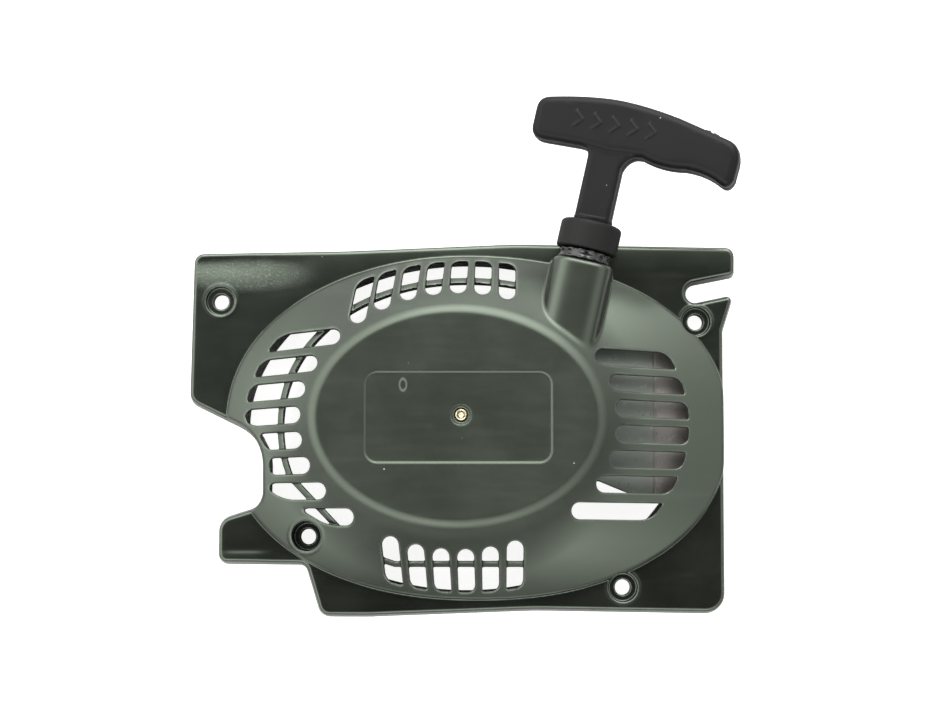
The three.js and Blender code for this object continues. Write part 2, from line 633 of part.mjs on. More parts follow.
/** The grip in its own frame: Y along the stem from the collar's outer face, X along the bar. */
function handleGrip() {
  const half = STEM.width / 2;
  const outline = new THREE.Shape();
  outline.moveTo(half, 0.1);
  outline.lineTo(half, 22.5);
  outline.quadraticCurveTo(8.6, 28.4, 13.5, 28.3);
  outline.quadraticCurveTo(22, 25.3, 31, 26.9);
  outline.quadraticCurveTo(39, 27.1, 44.9, 23.9);
  outline.quadraticCurveTo(49.2, 21.3, 50.4, 26.5);
  outline.lineTo(50.7, 33);
  outline.quadraticCurveTo(50.6, 39.7, 45.2, 40.9);
  outline.lineTo(25.4, 45.6);
  outline.quadraticCurveTo(10, 48.6, -1.1, 48.4);
  outline.quadraticCurveTo(-13, 48, -26.2, 45);
  outline.quadraticCurveTo(-30, 44, -30, 40.2);
  outline.lineTo(-30, 33.1);
  outline.quadraticCurveTo(-30, 28.7, -25.6, 28.7);
  outline.lineTo(-10.5, 28.9);
  outline.quadraticCurveTo(-half, 28.5, -half, 24.5);
  outline.lineTo(-half, 0.1);
  const body = solid(new THREE.ExtrudeGeometry(outline, {
    depth: GRIP_THICKNESS - 2 * GRIP_BEVEL,
    bevelEnabled: true,
    bevelThickness: GRIP_BEVEL,
    bevelSize: GRIP_BEVEL,
    bevelOffset: -GRIP_BEVEL,
    bevelSegments: 2,
    curveSegments: 3,
  }).translate(0, 0, GRIP_BEVEL - GRIP_THICKNESS / 2));

  const spigot = turnedAlong([
    [0, -STEM.spigotDepth], [STEM.spigot, -STEM.spigotDepth], [STEM.spigot, GAP], [STEM.baseRadius, GAP],
    [STEM.baseRadius, STEM.baseHeight], [0, STEM.baseHeight],
  ], 16);
  const bore = turnedAlong([[0, -20], [STEM.bore, -20], [STEM.bore, 35], [0, 35]], 10);
  const { bottom, top, width, floor } = KNOT_POCKET;
  const pocket = box(-width / 2, width / 2, bottom, top, -GRIP_THICKNESS, floor);
  const trimmed = body.subtract(box(-20, 20, -5, GAP, -20, 20));
  return trimmed.add(spigot).subtract(bore.add(pocket));
}

const alongRope = (radius, from, to, facets) => (
  turnedAlong([[0, from], [radius, from], [radius, to], [0, to]], facets)
);

const knot = (radius) => solid(new THREE.IcosahedronGeometry(radius, 1));

// ---------------------------------------------------------------- assembly

function piece(name, body, material) {
  const mesh = new THREE.Mesh(geometryOf(body), MATERIALS[material]);
  mesh.name = name;
  return mesh;
}

function coverGroup() {
  const group = new THREE.Group();
  group.add(
    piece('starter_housing', starterHousing(), 'cover'),
    piece('post_insert', postInsert(), 'brass'),
    piece('pulley_washer', pulleyWasher(), 'steel'),
    piece('pulley_screw', pulleyScrew(), 'steel'),
    piece('spring_case', springCase(), 'reel'),
    piece('recoil_spring', recoilSpring(), 'spring'),
    piece('air_baffle_plate', airBafflePlate(), 'baffle'),
  );
  ['left', 'right'].forEach((side, i) => {
    const x = CASE_EAR.screwAt * (2 * i - 1);
    group.add(piece(`spring_case_screw_${side}`, smallScrew(x, 0, SPRING_CASE.bottom - GAP), 'steel'));
  });
  BAFFLE_SCREWS.forEach(([x, y], i) => {
    group.add(piece(`baffle_screw_${i + 1}`, smallScrew(x, y, baffleUnderside(x, y) - GAP), 'steel'));
  });
  return group;
}

/** Height of the air baffle plate's lowest point under a screw head. */
function baffleUnderside(x, y) {
  const head = disc(x, y, SMALL_SCREW.head, -5, 45, 12);
  const { min } = airBafflePlate().intersect(head).boundingBox();
  return min[2];
}

function reelGroup() {
  const group = new THREE.Group();
  group.add(
    piece('rope_pulley', ropePulley(), 'reel'),
    piece('rope_winding', ropeWinding(), 'rope'),
  );
  const pulleyKnot = piece('pulley_knot', knot(3), 'rope');
  const angle = THREE.MathUtils.degToRad(KNOT_HOLE.angle);
  const at = PULLEY.rim - 3.4;
  pulleyKnot.position.set(at * Math.cos(angle), at * Math.sin(angle), PULLEY.webBottom - 3.4);
  group.add(pulleyKnot);
  return group;
}

function handleGroup() {
  const group = new THREE.Group();
  group.add(
    piece('handle_grip', handleGrip(), 'grip'),
    piece('handle_collar', handleCollar(), 'collar'),
  );
  const washerAt = KNOT_POCKET.bottom + GAP;
  const washer = turnedAlong([
    [ROPE_RADIUS + GAP, washerAt], [4.5, washerAt], [4.5, washerAt + 1], [ROPE_RADIUS + GAP, washerAt + 1],
  ], 12);
  group.add(piece('knot_washer', washer, 'steel'));
  const handleKnot = piece('handle_knot', knot(4), 'rope');
  handleKnot.position.set(0, washerAt + 1 + GAP + 4.4, 0);
  group.add(handleKnot);
  group.position.y = COLLAR.end;
  group.rotation.y = HANDLE_ROLL;
  return group;
}

function ropeLineGroup() {
  const group = new THREE.Group();
  const leadEnd = COLLAR.end + KNOT_POCKET.bottom + GAP + 1.2;
  group.add(
    piece('rope_guide_bush', ropeGuideBush(), 'bush'),
    piece('rope_lead', alongRope(ROPE_RADIUS, -2, leadEnd, 8), 'rope'),
    handleGroup(),
  );
  group.position.copy(ROPE_POSITION);
  group.rotation.z = ROPE_ANGLE;
  return group;
}

const recoilStarter = new THREE.Group();
recoilStarter.add(coverGroup(), reelGroup(), ropeLineGroup());

const footprint = new THREE.Box3().setFromObject(recoilStarter, true);
const centre = footprint.getCenter(new THREE.Vector3());
recoilStarter.position.set(-centre.x, -centre.y, -footprint.min.z);

const assembly = new THREE.Group();
assembly.add(recoilStarter);

export default assembly;
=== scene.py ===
"""Looks of the recoil starter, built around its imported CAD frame.

The moulded parts are made as distance fields in the reel's frame, in millimetres, and skinned: there the
reel turns about Z at (0, 0), the cover's rear rim lies on z = 0 and its front faces +Z.
"""

import json
import math

import bpy
import numpy as np
import openvdb
from mathutils import Matrix, Vector


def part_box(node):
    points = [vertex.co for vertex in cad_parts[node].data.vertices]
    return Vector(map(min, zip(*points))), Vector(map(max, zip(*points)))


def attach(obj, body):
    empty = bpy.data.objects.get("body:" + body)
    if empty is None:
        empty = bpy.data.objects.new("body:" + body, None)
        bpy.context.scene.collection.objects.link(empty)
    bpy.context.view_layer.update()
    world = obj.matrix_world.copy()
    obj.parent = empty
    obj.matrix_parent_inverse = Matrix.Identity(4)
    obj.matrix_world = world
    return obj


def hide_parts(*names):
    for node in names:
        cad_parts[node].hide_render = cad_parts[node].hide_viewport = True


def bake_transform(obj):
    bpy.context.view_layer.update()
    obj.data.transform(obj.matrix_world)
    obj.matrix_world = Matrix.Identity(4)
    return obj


MM = 0.001

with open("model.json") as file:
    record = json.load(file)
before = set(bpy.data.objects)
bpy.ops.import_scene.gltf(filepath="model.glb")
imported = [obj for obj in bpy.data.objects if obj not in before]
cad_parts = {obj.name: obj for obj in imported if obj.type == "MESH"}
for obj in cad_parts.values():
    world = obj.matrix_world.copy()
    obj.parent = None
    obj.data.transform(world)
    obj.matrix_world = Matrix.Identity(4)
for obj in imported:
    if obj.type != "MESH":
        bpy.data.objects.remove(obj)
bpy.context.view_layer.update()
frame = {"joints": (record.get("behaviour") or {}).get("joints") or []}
joints = {joint["name"]: joint for joint in frame["joints"]}

# ---- frames

REEL = Vector(joints["reel_spin"]["pos_m"])
ROPE_DIRECTION = Vector(joints["handle_pull"]["axis"])
ROPE_ACROSS = Vector((ROPE_DIRECTION.y, -ROPE_DIRECTION.x, 0))
ROPE_Z = REEL.z / MM
ROPE_OFFSET = (Vector(joints["handle_swivel"]["pos_m"]) - REEL).dot(ROPE_ACROSS) / MM
HANDLE_ROLL = math.radians(-11)
COLLAR_END = 84.0  # the collar's outer face, along the rope line from the reel's axis

REEL_FRAME = Matrix.Translation((REEL.x, REEL.y, 0)) @ Matrix.Scale(MM, 4)
ROPE_FRAME = (
    REEL_FRAME
    @ Matrix.Rotation(-math.atan2(ROPE_DIRECTION.x, ROPE_DIRECTION.y), 4, "Z")
    @ Matrix.Translation((ROPE_OFFSET, 0, ROPE_Z))
)
HANDLE_FRAME = (
    ROPE_FRAME
    @ Matrix.Translation((0, COLLAR_END, 0))
    @ Matrix.Rotation(HANDLE_ROLL, 4, "Y")
)

# ---- distance fields


def both(a, b, radius):
    """Where both fields are inside, with the edge between them rounded."""
    u = np.maximum(a + radius, 0)
    v = np.maximum(b + radius, 0)
    return np.minimum(np.maximum(a, b), -radius) + np.hypot(u, v)


def either(a, b, radius):
    """Where either field is inside, with a fillet in the corner between them."""
    return -both(-a, -b, radius)


def without(a, b, radius):
    """The first field without the second, with the edge between them rounded."""
    return both(a, -b, radius)


def disc_field(x, y, cx, cy, radius):
    return np.hypot(x - cx, y - cy) - radius


def slab(value, low, high):
    return np.abs(value - (low + high) / 2) - (high - low) / 2


def beside(x, y, start, end):
    """Distance to the left of the line through two points is negative, to the right positive."""
    (ax, ay), (bx, by) = start, end
    return ((x - ax) * (by - ay) - (y - ay) * (bx - ax)) / math.hypot(bx - ax, by - ay)


def outline_field(x, y, points):
    """Signed distance to a closed outline."""
    x, y = np.broadcast_arrays(x, y)
    nearest = np.full(x.shape, 1e9, np.float32)
    inside = np.zeros(x.shape, bool)
    for (ax, ay), (bx, by) in zip(points, np.roll(points, -1, axis=0)):
        ex, ey = bx - ax, by - ay
        wx, wy = x - ax, y - ay
        t = np.clip((wx * ex + wy * ey) / (ex * ex + ey * ey), 0, 1)
        nearest = np.minimum(nearest, (wx - t * ex) ** 2 + (wy - t * ey) ** 2)
        if ay != by:
            inside ^= ((ay > y) != (by > y)) & (wx < ex * wy / ey)
    return np.where(inside, -1, 1) * np.sqrt(nearest)


def line_field(x, y, points, half):
    """Distance to an open line of that half thickness."""
    nearest = 1e9
    for (ax, ay), (bx, by) in zip(points, points[1:]):
        ex, ey = bx - ax, by - ay
        t = np.clip(((x - ax) * ex + (y - ay) * ey) / (ex * ex + ey * ey), 0, 1)
        nearest = np.minimum(nearest, np.hypot(x - ax - t * ex, y - ay - t * ey))
    return nearest - half


def box_field(x, y, cx, cy, width, height, radius):
    """Signed distance to a rectangle with rounded corners."""
    u = np.abs(x - cx) - width / 2 + radius
    v = np.abs(y - cy) - height / 2 + radius
    return np.hypot(np.maximum(u, 0), np.maximum(v, 0)) + np.minimum(np.maximum(u, v), 0) - radius


def oval_field(x, y, oval):
    """Distance to |x/a|^power + |y/b|^power = 1, close to it."""
    cx, cy, a, b, power = oval
    u = np.abs(x - cx) / a + 1e-6
    v = np.abs(y - cy) / b + 1e-6
    size = (u**power + v**power) ** (1 / power)
    return (size - 1) / np.hypot((u / size) ** (power - 1) / a, (v / size) ** (power - 1) / b)


def shrunk(oval, by):
    return (oval[0], oval[1], oval[2] - by, oval[3] - by, oval[4])


def rounded_outline(corners, step=9):
    """The points of a closed outline whose corners are x, y, radius."""
    points = []
    for i, (x, y, radius) in enumerate(corners):
        here = Vector((x, y))
        arriving = (here - Vector(corners[i - 1][:2])).normalized()
        leaving = (Vector(corners[(i + 1) % len(corners)][:2]) - here).normalized()
        turn = math.atan2(arriving.x * leaving.y - arriving.y * leaving.x, arriving.dot(leaving))
        side = math.copysign(1, turn)
        start = here - arriving * radius * math.tan(abs(turn) / 2)
        centre = start + Vector((-arriving.y, arriving.x)) * side * radius
        steps = max(2, math.ceil(math.degrees(abs(turn)) / step))
        spoke = start - centre
        for k in range(steps + 1):
            angle = turn * k / steps
            c, s = math.cos(angle), math.sin(angle)
            points.append((centre.x + spoke.x * c - spoke.y * s, centre.y + spoke.x * s + spoke.y * c))
    return np.array(points)


def curved_outline(*steps, parts=7):
    """Points of a closed outline: straight steps x, y, and curved ones control x, control y, x, y."""
    points = [steps[0]]
    for step in steps[1:]:
        if len(step) == 2:
            points.append(step)
            continue
        start, control, end = points[-1], step[:2], step[2:]
        for k in range(1, parts + 1):
            t = k / parts
            u = 1 - t
            weights = (u * u, 2 * u * t, t * t)
            points.append([sum(w * p for w, p in zip(weights, axis)) for axis in zip(start, control, end)])
    return np.array(points, float)


def ball_field(x, y, z, centre, radius):
    cx, cy, cz = centre
    return np.sqrt((x - cx) ** 2 + (y - cy) ** 2 + (z - cz) ** 2) - radius


# ---- skinning


def samples(values, at):
    """A grid's values between its points, at positions counted in steps of the grid."""
    top = np.array(values.shape) - 2
    base = np.clip(np.floor(at).astype(int), 0, top)
    part = at - base
    total = np.zeros(len(at), np.float32)
    for corner in range(8):
        step = np.array([corner & 1, corner >> 1 & 1, corner >> 2 & 1])
        weight = np.prod(np.where(step, part, 1 - part), axis=1)
        i, j, k = (base + step).T
        total += weight * values[i, j, k]
    return total


def slopes(values, at, reach):
    """The gradient of a grid's values at positions counted in its steps."""
    gradient = np.empty((len(at), 3), np.float32)
    for axis in range(3):
        step = np.zeros(3)
        step[axis] = reach
        gradient[:, axis] = samples(values, at + step) - samples(values, at - step)
    return gradient / (2 * reach)


def skin(name, field, low, high, pitch, place, adaptivity=0.01):
    """A mesh object on the surface of a distance field, with the field's own normals."""
    axes = [np.arange(a, b + pitch, pitch, dtype=np.float32) for a, b in zip(low, high)]
    x, y, z = axes[0][:, None, None], axes[1][None, :, None], axes[2][None, None, :]
    shape = tuple(len(a) for a in axes)
    values = np.ascontiguousarray(np.broadcast_to(field(x, y, z), shape), dtype=np.float32) / pitch
    volume = openvdb.FloatGrid(4.0)
    volume.copyFromArray(values)
    points, triangles, quads = volume.convertToPolygons(isovalue=0.0, adaptivity=adaptivity)
    for _ in range(2):
        gradient = slopes(values, points, 0.5)
        squared = np.maximum((gradient**2).sum(1), 0.25)
        move = samples(values, points) / squared
        points = points - gradient * np.clip(move, -0.5, 0.5)[:, None]
    normals = slopes(values, points, 0.7)
    normals /= np.linalg.norm(normals, axis=1)[:, None] + 1e-9
    bend = sum(
        samples(values, points + reach * direction)
        for direction in np.eye(3)
        for reach in (-1.6, 1.6)
    )
    corners = np.concatenate([triangles.ravel(), quads.ravel()]).astype(np.int32)
    starts = np.concatenate([
        np.arange(len(triangles)) * 3,
        len(triangles) * 3 + np.arange(len(quads)) * 4,
    ]).astype(np.int32)
    mesh = bpy.data.meshes.new(name)
    mesh.vertices.add(len(points))
    mesh.vertices.foreach_set("co", (points * pitch + np.array(low)).astype(np.float32).ravel())
    mesh.loops.add(len(corners))
    mesh.loops.foreach_set("vertex_index", corners)
    mesh.polygons.add(len(starts))
    mesh.polygons.foreach_set("loop_start", starts)
    mesh.update(calc_edges=True)
    mesh.attributes.new("bend", "FLOAT", "POINT").data.foreach_set("value", bend.astype(np.float32))
    mesh.shade_smooth()
    mesh.normals_split_custom_set_from_vertices(normals)
    mesh.transform(place)
    return bpy.data.objects.new(name, mesh)


def add(obj, body, material, node):
    """Puts a piece in the scene, in place of its CAD node; one that is blended has no body of its own.
    """
    bpy.context.scene.collection.objects.link(obj)
    obj.data.materials.clear()
    obj.data.materials.append(material)
    if body:
        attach(obj, body)
    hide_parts(node)


# ---- the cover's shape

WALL = 2.6
PLATE_TOP = 8.0
PLATE_FLOOR = 5.0
# an oval is its centre x, y, its half width, its half height and its power
DOME_BASE = (6.3, -3.5, 97.4, 66.0, 2.2)
DOME_BROW = (-1.9, 0.0, 57.2, 43.5, 2.0)
DOME_BASE_Z = 12.5
DOME_BROW_Z = 30.5
DOME_BULGE = 0.25
SLOPE_LEAN = 0.52  # rise over run of the dome's slope, on average
SLOPE_STRETCH = 1.13  # length of that slope over its run, roughly
PLATEAU_Z = 37.0
PLATEAU = (-1.3, -0.7, 53.4, 38.8, 2)
CROWN_LEAN = 0.65  # how far the crown's side leans in for each millimetre up
CROWN_COVE = 10.0
PLATE_OUTLINE = [
    (101.6, -74.4, 7), (101.7, 35.2, 3), (105.9, 48.3, 1.2), (88.3, 44.5, 4.4), (86.4, 53.2, 4.4),
    (106.4, 57.1, 1.6), (106.5, 67.2, 3), (20, 68.6, 200), (-45, 65.9, 90), (-104.4, 64.8, 3.4),
    (-105.6, 7.5, 5), (-75.9, -7, 18), (-76.4, -33.8, 8), (-93.8, -39.3, 5.5), (-93.8, -55.1, 3),
    (-60, -55.5, 4), (-54, -75.5, 4), (-36, -75.6, 40), (28, -73.2, 200),
]
SCREW_TUBES = [(-94.2, 46.3, 8), (91.5, 38.3, 8), (62.5, -65, 8), (-59.5, -45.4, 24)]
TUBE_RADIUS = 6.9
SCREW_HOLE = 3.0
SCREW_RECESS = 5.65
SCREW_SEAT_Z = 5.2

SLOT_WIDTH = 6.35
SLOT_INNER = (-1, -1.75, 60, 48.7, 2.0)
SLOT_OUTER = (2.1, -2.8, 85.3, 63.9, 2.0)
# across axis, side, count, first, pitch, at, tilt of the first, tilt step, extra shift of first and last
SLOT_FAMILIES = [
    ("x", 1, 7, -38.4, 9.35, 53, 8.5, -1.2, 1.2, 0),
    ("x", -1, 6, -26.2, 9.35, -57, 5, -1, 0, 0),
    ("y", 1, 7, 22, -9.6, 73, 1.6, -0.2, 0, -0.5),
    ("y", -1, 8, 29.2, -9.6, -66, 3.6, -0.6, 0, 0),
]
NOTCH_GUARD = (-96.7, -21, 23.8)  # the slots stop at this circle round the half-round notch
TUBE_GUARD = ((-78, -25.4), (-42, -46.7))  # and at this line beside the lower left screw tube
SLOT_WALL = 2.0
SLOT_WALL_BOTTOM = 1.5
SLOT_WALL_DRAFT = 0.03
RIB_DRAFT = 0.085
DRAFT_TOP = 20  # the slot wall and the rib lean below this height
SKIRT_DRAFT = 0.13

SHROUD_RIB = (2.4, -3.5, 72.6, 57.5, 2.1)
SHROUD_RIB_BOTTOM = 4.0
RIB_THICKNESS = 2.4
RIB_FLOOR = -57.2
RIB_CORNER = (20, -20)
RIB_RUN = ((-66.5, -23.4), (-34.5, -57.2))

BOSS = {"radius": 11.9, "power": 3.2, "start": 42, "end": 68.4, "bore": 7.3, "mouth": 3.6, "throat": 46}
BOSS_ROOM = (0, 57.5, 16.8, 15)  # centre and size of the room inside the boss, across and along the rope
BOSS_ROOM_BELOW = 9.6  # from the rope's axis down to the room's top
REEL_ROOM, REEL_ROOM_TOP = 39.5, 33
POST_RADIUS, POST_BOTTOM = 6.1, 12.7
INSERT_SOCKET, PIN_HOLE = 3.65, 2.65
CASE_SCREW_AT, CASE_POST_RADIUS, CASE_POST_BOTTOM = 42.2, 3.6, 29.6
BAFFLE_SCREWS = [(90, 13.5), (90, -17), (68, 30.6)]
BAFFLE_POST_RADIUS, BAFFLE_POST_GAP, BAFFLE_ROOM = 3.4, 3.3, 6.2
PILOT = 1.6
DIMPLE_RADIUS, DIMPLE_DEPTH = 4, 0.6
LABEL = (-1, -0.9, 70.5, 34.2, 4.7)  # centre, size and corner radius of the label's recess
LABEL_DEPTH = 0.4


def slope_height(x, y, inset, drop):
    """Height of the dome's slope, which bulges a little from its base up to the brow."""
    base = np.array(shrunk(DOME_BASE, inset))
    brow = np.array(shrunk(DOME_BROW, inset))
    low = np.full(np.broadcast(x, y).shape, -0.4, np.float32)
    high = np.full(low.shape, 1.4, np.float32)
    for _ in range(16):
        t = (low + high) / 2
        cx, cy, a, b, power = (base[i] + (brow[i] - base[i]) * t for i in range(5))
        outside = np.abs((x - cx) / a) ** power + np.abs((y - cy) / b) ** power > 1
        high = np.where(outside, t, high)
        low = np.where(outside, low, t)
    rise = low * (1 + DOME_BULGE - DOME_BULGE * low)
    return DOME_BASE_Z + (DOME_BROW_Z - DOME_BASE_Z) * rise - drop


def dome_field(x, y, z, inset, drop, edge, fillet):
    """The dome and its crown, made smaller by an inset in plan and lower by a drop."""
    height = slope_height(x, y, inset, drop)
    slope = (z - height) / math.hypot(1, SLOPE_LEAN)
    slope = both(slope, oval_field(x, y, shrunk(DOME_BASE, inset)), edge)
    side = oval_field(x, y, shrunk(PLATEAU, inset)) + (z - PLATEAU_Z + drop) * CROWN_LEAN
    side = side / math.hypot(1, CROWN_LEAN)
    return both(either(slope, side, CROWN_COVE), z - PLATEAU_Z + drop, fillet)


def rope_coordinates(x, y, z):
    """Across, along and above the rope line."""
    across = x * ROPE_ACROSS.x + y * ROPE_ACROSS.y - ROPE_OFFSET
    along = x * ROPE_DIRECTION.x + y * ROPE_DIRECTION.y
    return across, along, z - ROPE_Z


def slot_field(x, y):
    """All air slots, in plan."""
    outer = oval_field(x, y, SLOT_OUTER)
    notch = -disc_field(x, y, *NOTCH_GUARD)
    tube = beside(x, y, *TUBE_GUARD)
    slots = np.full(outer.shape, 60.0, np.float32)
    for across, side, count, first, pitch, at, tilt, tilt_step, first_shift, last_shift in SLOT_FAMILIES:
        for i in range(count):
            offset = first + pitch * i + first_shift * (i == 0) + last_shift * (i == count - 1)
            lean = -side * math.radians(tilt + tilt_step * i)
            middle = Vector((offset, at)) if across == "x" else Vector((at, offset))
            along = Vector((0, side)) if across == "x" else Vector((side, 0))
            along.rotate(Matrix.Rotation(lean, 2))
            start = middle - along * 45
            start = start + along * (leave_oval(start, along, SLOT_INNER) + SLOT_WIDTH / 2)
            s = (x - start.x) * along.x + (y - start.y) * along.y
            t = (x - start.x) * along.y - (y - start.y) * along.x
            stripe = np.hypot(np.minimum(s, 0), t) - SLOT_WIDTH / 2
            obtuse = t * (along.y * offset if across == "x" else -along.x * offset) > 0
            radius = np.where(obtuse, 2.8, 0.8)
            slot = both(stripe, outer, radius)
            slot = both(slot, notch, 2.2)
            if along.x < -0.5:
                slot = both(slot, tube, 2.0)
            slots = np.minimum(slots, np.where(s > -10, slot, 60))
    return slots


def leave_oval(start, direction, oval):
    """How far along a line from `start` it leaves an oval of power 2."""
    cx, cy, a, b, _ = oval
    p = Vector(((start.x - cx) / a, (start.y - cy) / b))
    d = Vector((direction.x / a, direction.y / b))
    half = p.dot(d)
    return (-half + math.sqrt(half * half - d.dot(d) * (p.dot(p) - 1))) / d.dot(d)


def rib_field(x, y, z):
    """The shroud rib's path in plan: an oval with a straight run below, which goes on to the slot wall on
    the lower right, and one across the lower left."""
    corner = np.maximum(RIB_CORNER[0] - x, y - RIB_CORNER[1])
    inside = np.minimum(oval_field(x, y, SHROUD_RIB), corner)
    inside = np.maximum(inside, RIB_FLOOR - y)
    inside = np.maximum(inside, beside(x, y, *RIB_RUN))
    thickness = RIB_THICKNESS - np.maximum(DRAFT_TOP - z, 0) * RIB_DRAFT
    return np.maximum(np.maximum(inside, -thickness - inside), oval_field(x, y, SLOT_OUTER) - 1)


def bell(x, y, cx, cy, reach_x, reach_y, power=2):
    """1 at a point, and less and less around it."""
    return np.exp(-(((x - cx) / reach_x) ** power) - ((y - cy) / reach_y) ** power)


def plate_dip(x, y):
    """How far the flange plate's face lies below its nominal height: it is warped a little."""
    corner = 1.5 * bell(x, y, -92, 62, 26, 6)
    crease = -0.2 * bell(x, y, -76, 57, 2.5, 6)
    arm = -0.35 * bell(x, y, -84, -53.5, 9, 2.2, power=4)
    far_edge = 0.4 * (np.maximum(y - 58, 0) / 9) ** 2
    waves = 0.08 * np.sin(x * 0.11 + 1) * np.sin(y * 0.09)
    return corner + crease + arm + far_edge + waves


def boss_fields(x, y, z):
    """The rope boss's barrel, the room inside it, and its bore with a narrow mouth behind."""
    across, along, above = rope_coordinates(x, y, z)
    radius = BOSS["radius"]
    barrel = oval_field(across, np.maximum(above, 0), (0, 0, radius, radius, BOSS["power"]))
    barrel = both(barrel, slab(along, BOSS["start"] - 8, BOSS["end"]), 1.8)
    room = box_field(across, along, *BOSS_ROOM, 1.0)
    room = both(room, above + BOSS_ROOM_BELOW, 0.8)
    away = np.hypot(across, above)
    bore = np.maximum(away - BOSS["bore"], slab(along, BOSS["throat"], BOSS["end"] + 20))
    mouth = np.maximum(away - BOSS["mouth"], slab(along, BOSS["start"] - 6, BOSS["end"] - 8))
    return barrel, room, np.minimum(bore, mouth)


def shell_fields(x, y, z, outline):
    """The cover's outside without its boss, and the hollow under it."""
    skirt = (outline - (PLATE_TOP - z) * SKIRT_DRAFT) / math.hypot(1, SKIRT_DRAFT)
    plate = both(skirt, z - PLATE_TOP + plate_dip(x, y), 1.2)
    dome = both(dome_field(x, y, z, 0, 0, 0.9, 2.0), outline, 1.0)
    inner = outline + WALL
    pan = both(inner, z - PLATE_FLOOR, 0.8)
    hollow = np.maximum(dome_field(x, y, z, WALL, WALL, 0.6, 1.6), inner)
    return either(plate, dome, 0.5), either(pan, hollow, 1.0)


def inner_walls_field(x, y, z, under_skin):
    """The wall round the outside of the slots and the shroud rib, which stop above the air plate."""
    slot_edge = oval_field(x, y, SLOT_OUTER)
    draft = np.maximum(DRAFT_TOP - z, 0) * SLOT_WALL_DRAFT
    wall = np.maximum(slot_edge - SLOT_WALL, -slot_edge - draft)
    wall = both(np.maximum(wall, under_skin), SLOT_WALL_BOTTOM - z, 0.4)
    rib = both(np.maximum(rib_field(x, y, z), under_skin), SHROUD_RIB_BOTTOM - z, 0.5)
    plate_room = -dome_field(x, y, z, WALL, WALL + BAFFLE_ROOM, 0.6, 1.6)
    plate_room = np.maximum(plate_room, baffle_plan_field(x, y) - 1.5)
    return np.maximum(np.minimum(wall, rib), -plate_room)


def posts_field(x, y, z, baffle_line):
    """The reel's post and the posts that the small screws go into."""
    posts = both(np.hypot(x, y) - POST_RADIUS, POST_BOTTOM - z, 0.4)
    for side in (-1, 1):
        post = disc_field(x, y, side * CASE_SCREW_AT, 0, CASE_POST_RADIUS)
        posts = np.minimum(posts, both(post, CASE_POST_BOTTOM - z, 0.3))
    for cx, cy in BAFFLE_SCREWS:
        post = disc_field(x, y, cx, cy, BAFFLE_POST_RADIUS)
        posts = np.minimum(posts, both(post, (baffle_line - z) / SLOPE_STRETCH, 0.3))
    return posts


def screw_bores_field(x, y, z):
    """The holes for the four screws that hold the cover, with recesses for their heads."""
    bores = np.inf
    for cx, cy, _ in SCREW_TUBES:
        away = np.hypot(x - cx, y - cy)
        bores = np.minimum(bores, away - SCREW_HOLE)
        bores = np.minimum(bores, both(away - SCREW_RECESS, SCREW_SEAT_Z - z, 0.4))
    return bores


def sockets_field(x, y, z, baffle_line):
    """The insert's socket, the small screws' pilots, the dimple and the label's recess."""
    away = np.hypot(x, y)
    sockets = np.maximum(away - INSERT_SOCKET, slab(z, 10, 32.3))
    sockets = np.minimum(sockets, np.maximum(away - PIN_HOLE, 20 - z))
    for side in (-1, 1):
        pilot = disc_field(x, y, side * CASE_SCREW_AT, 0, PILOT)
        sockets = np.minimum(sockets, np.maximum(pilot, slab(z, 20, 34)))
    for cx, cy in BAFFLE_SCREWS:
        pilot = disc_field(x, y, cx, cy, PILOT)
        sockets = np.minimum(sockets, np.maximum(pilot, z - baffle_line - 3))
    dimple = both(away - DIMPLE_RADIUS, PLATEAU_Z - DIMPLE_DEPTH - z, 0.2)
    label = both(box_field(x, y, *LABEL), PLATEAU_Z - LABEL_DEPTH - z, 0.1)
    return np.minimum(sockets, np.minimum(dimple, label))


def housing_field(x, y, z):
    outline = outline_field(x, y, rounded_outline(PLATE_OUTLINE))
    barrel, boss_room, boss_bore = boss_fields(x, y, z)
    outside, hollow = shell_fields(x, y, z, outline)
    outside = either(outside, barrel, 1.0)
    shell = without(outside, np.minimum(hollow, boss_room), 0.35)
    shell = without(shell, slot_field(x, y), 0.4)
    reel_room = np.maximum(np.hypot(x, y) - REEL_ROOM, z - REEL_ROOM_TOP)
    shell = np.minimum(shell, without(barrel, np.minimum(boss_room, reel_room), 0.3))

    under_skin = np.maximum(dome_field(x, y, z, 1.4, 1.4, 0.6, 2.4), outline + WALL / 2)
    shell = either(shell, inner_walls_field(x, y, z, under_skin), 0.3)
    for cx, cy, top in SCREW_TUBES:
        tube = both(disc_field(x, y, cx, cy, TUBE_RADIUS), z - top, 0.5)
        shell = either(shell, np.maximum(tube, outside), 0.5)
    baffle_line = slope_height(x, y, WALL, WALL + BAFFLE_POST_GAP)
    posts = np.maximum(posts_field(x, y, z, baffle_line), under_skin)
    shell = either(shell, posts, 0.8)

    shell = without(shell, np.minimum(boss_bore, screw_bores_field(x, y, z)), 0.35)
    shell = without(shell, sockets_field(x, y, z, baffle_line), 0.15)
    return both(shell, -z, 0.4)


BAFFLE_PLAN = [
    (45, -24.6), (52.6, -24.6), (64.5, -29.2), (67.5, -30.6), (84.5, -30.6), (92.5, -21.6),
    (92.5, 20), (75, 35), (45, 35),
]


def baffle_plan_field(x, y):
    return outline_field(x, y, np.array(BAFFLE_PLAN, float))


BAFFLE_DROP, BAFFLE_THICKNESS = 3.6, 1.8
BAFFLE_SEAM, SEAM_DEPTH = (74.2, 75.0), 0.35


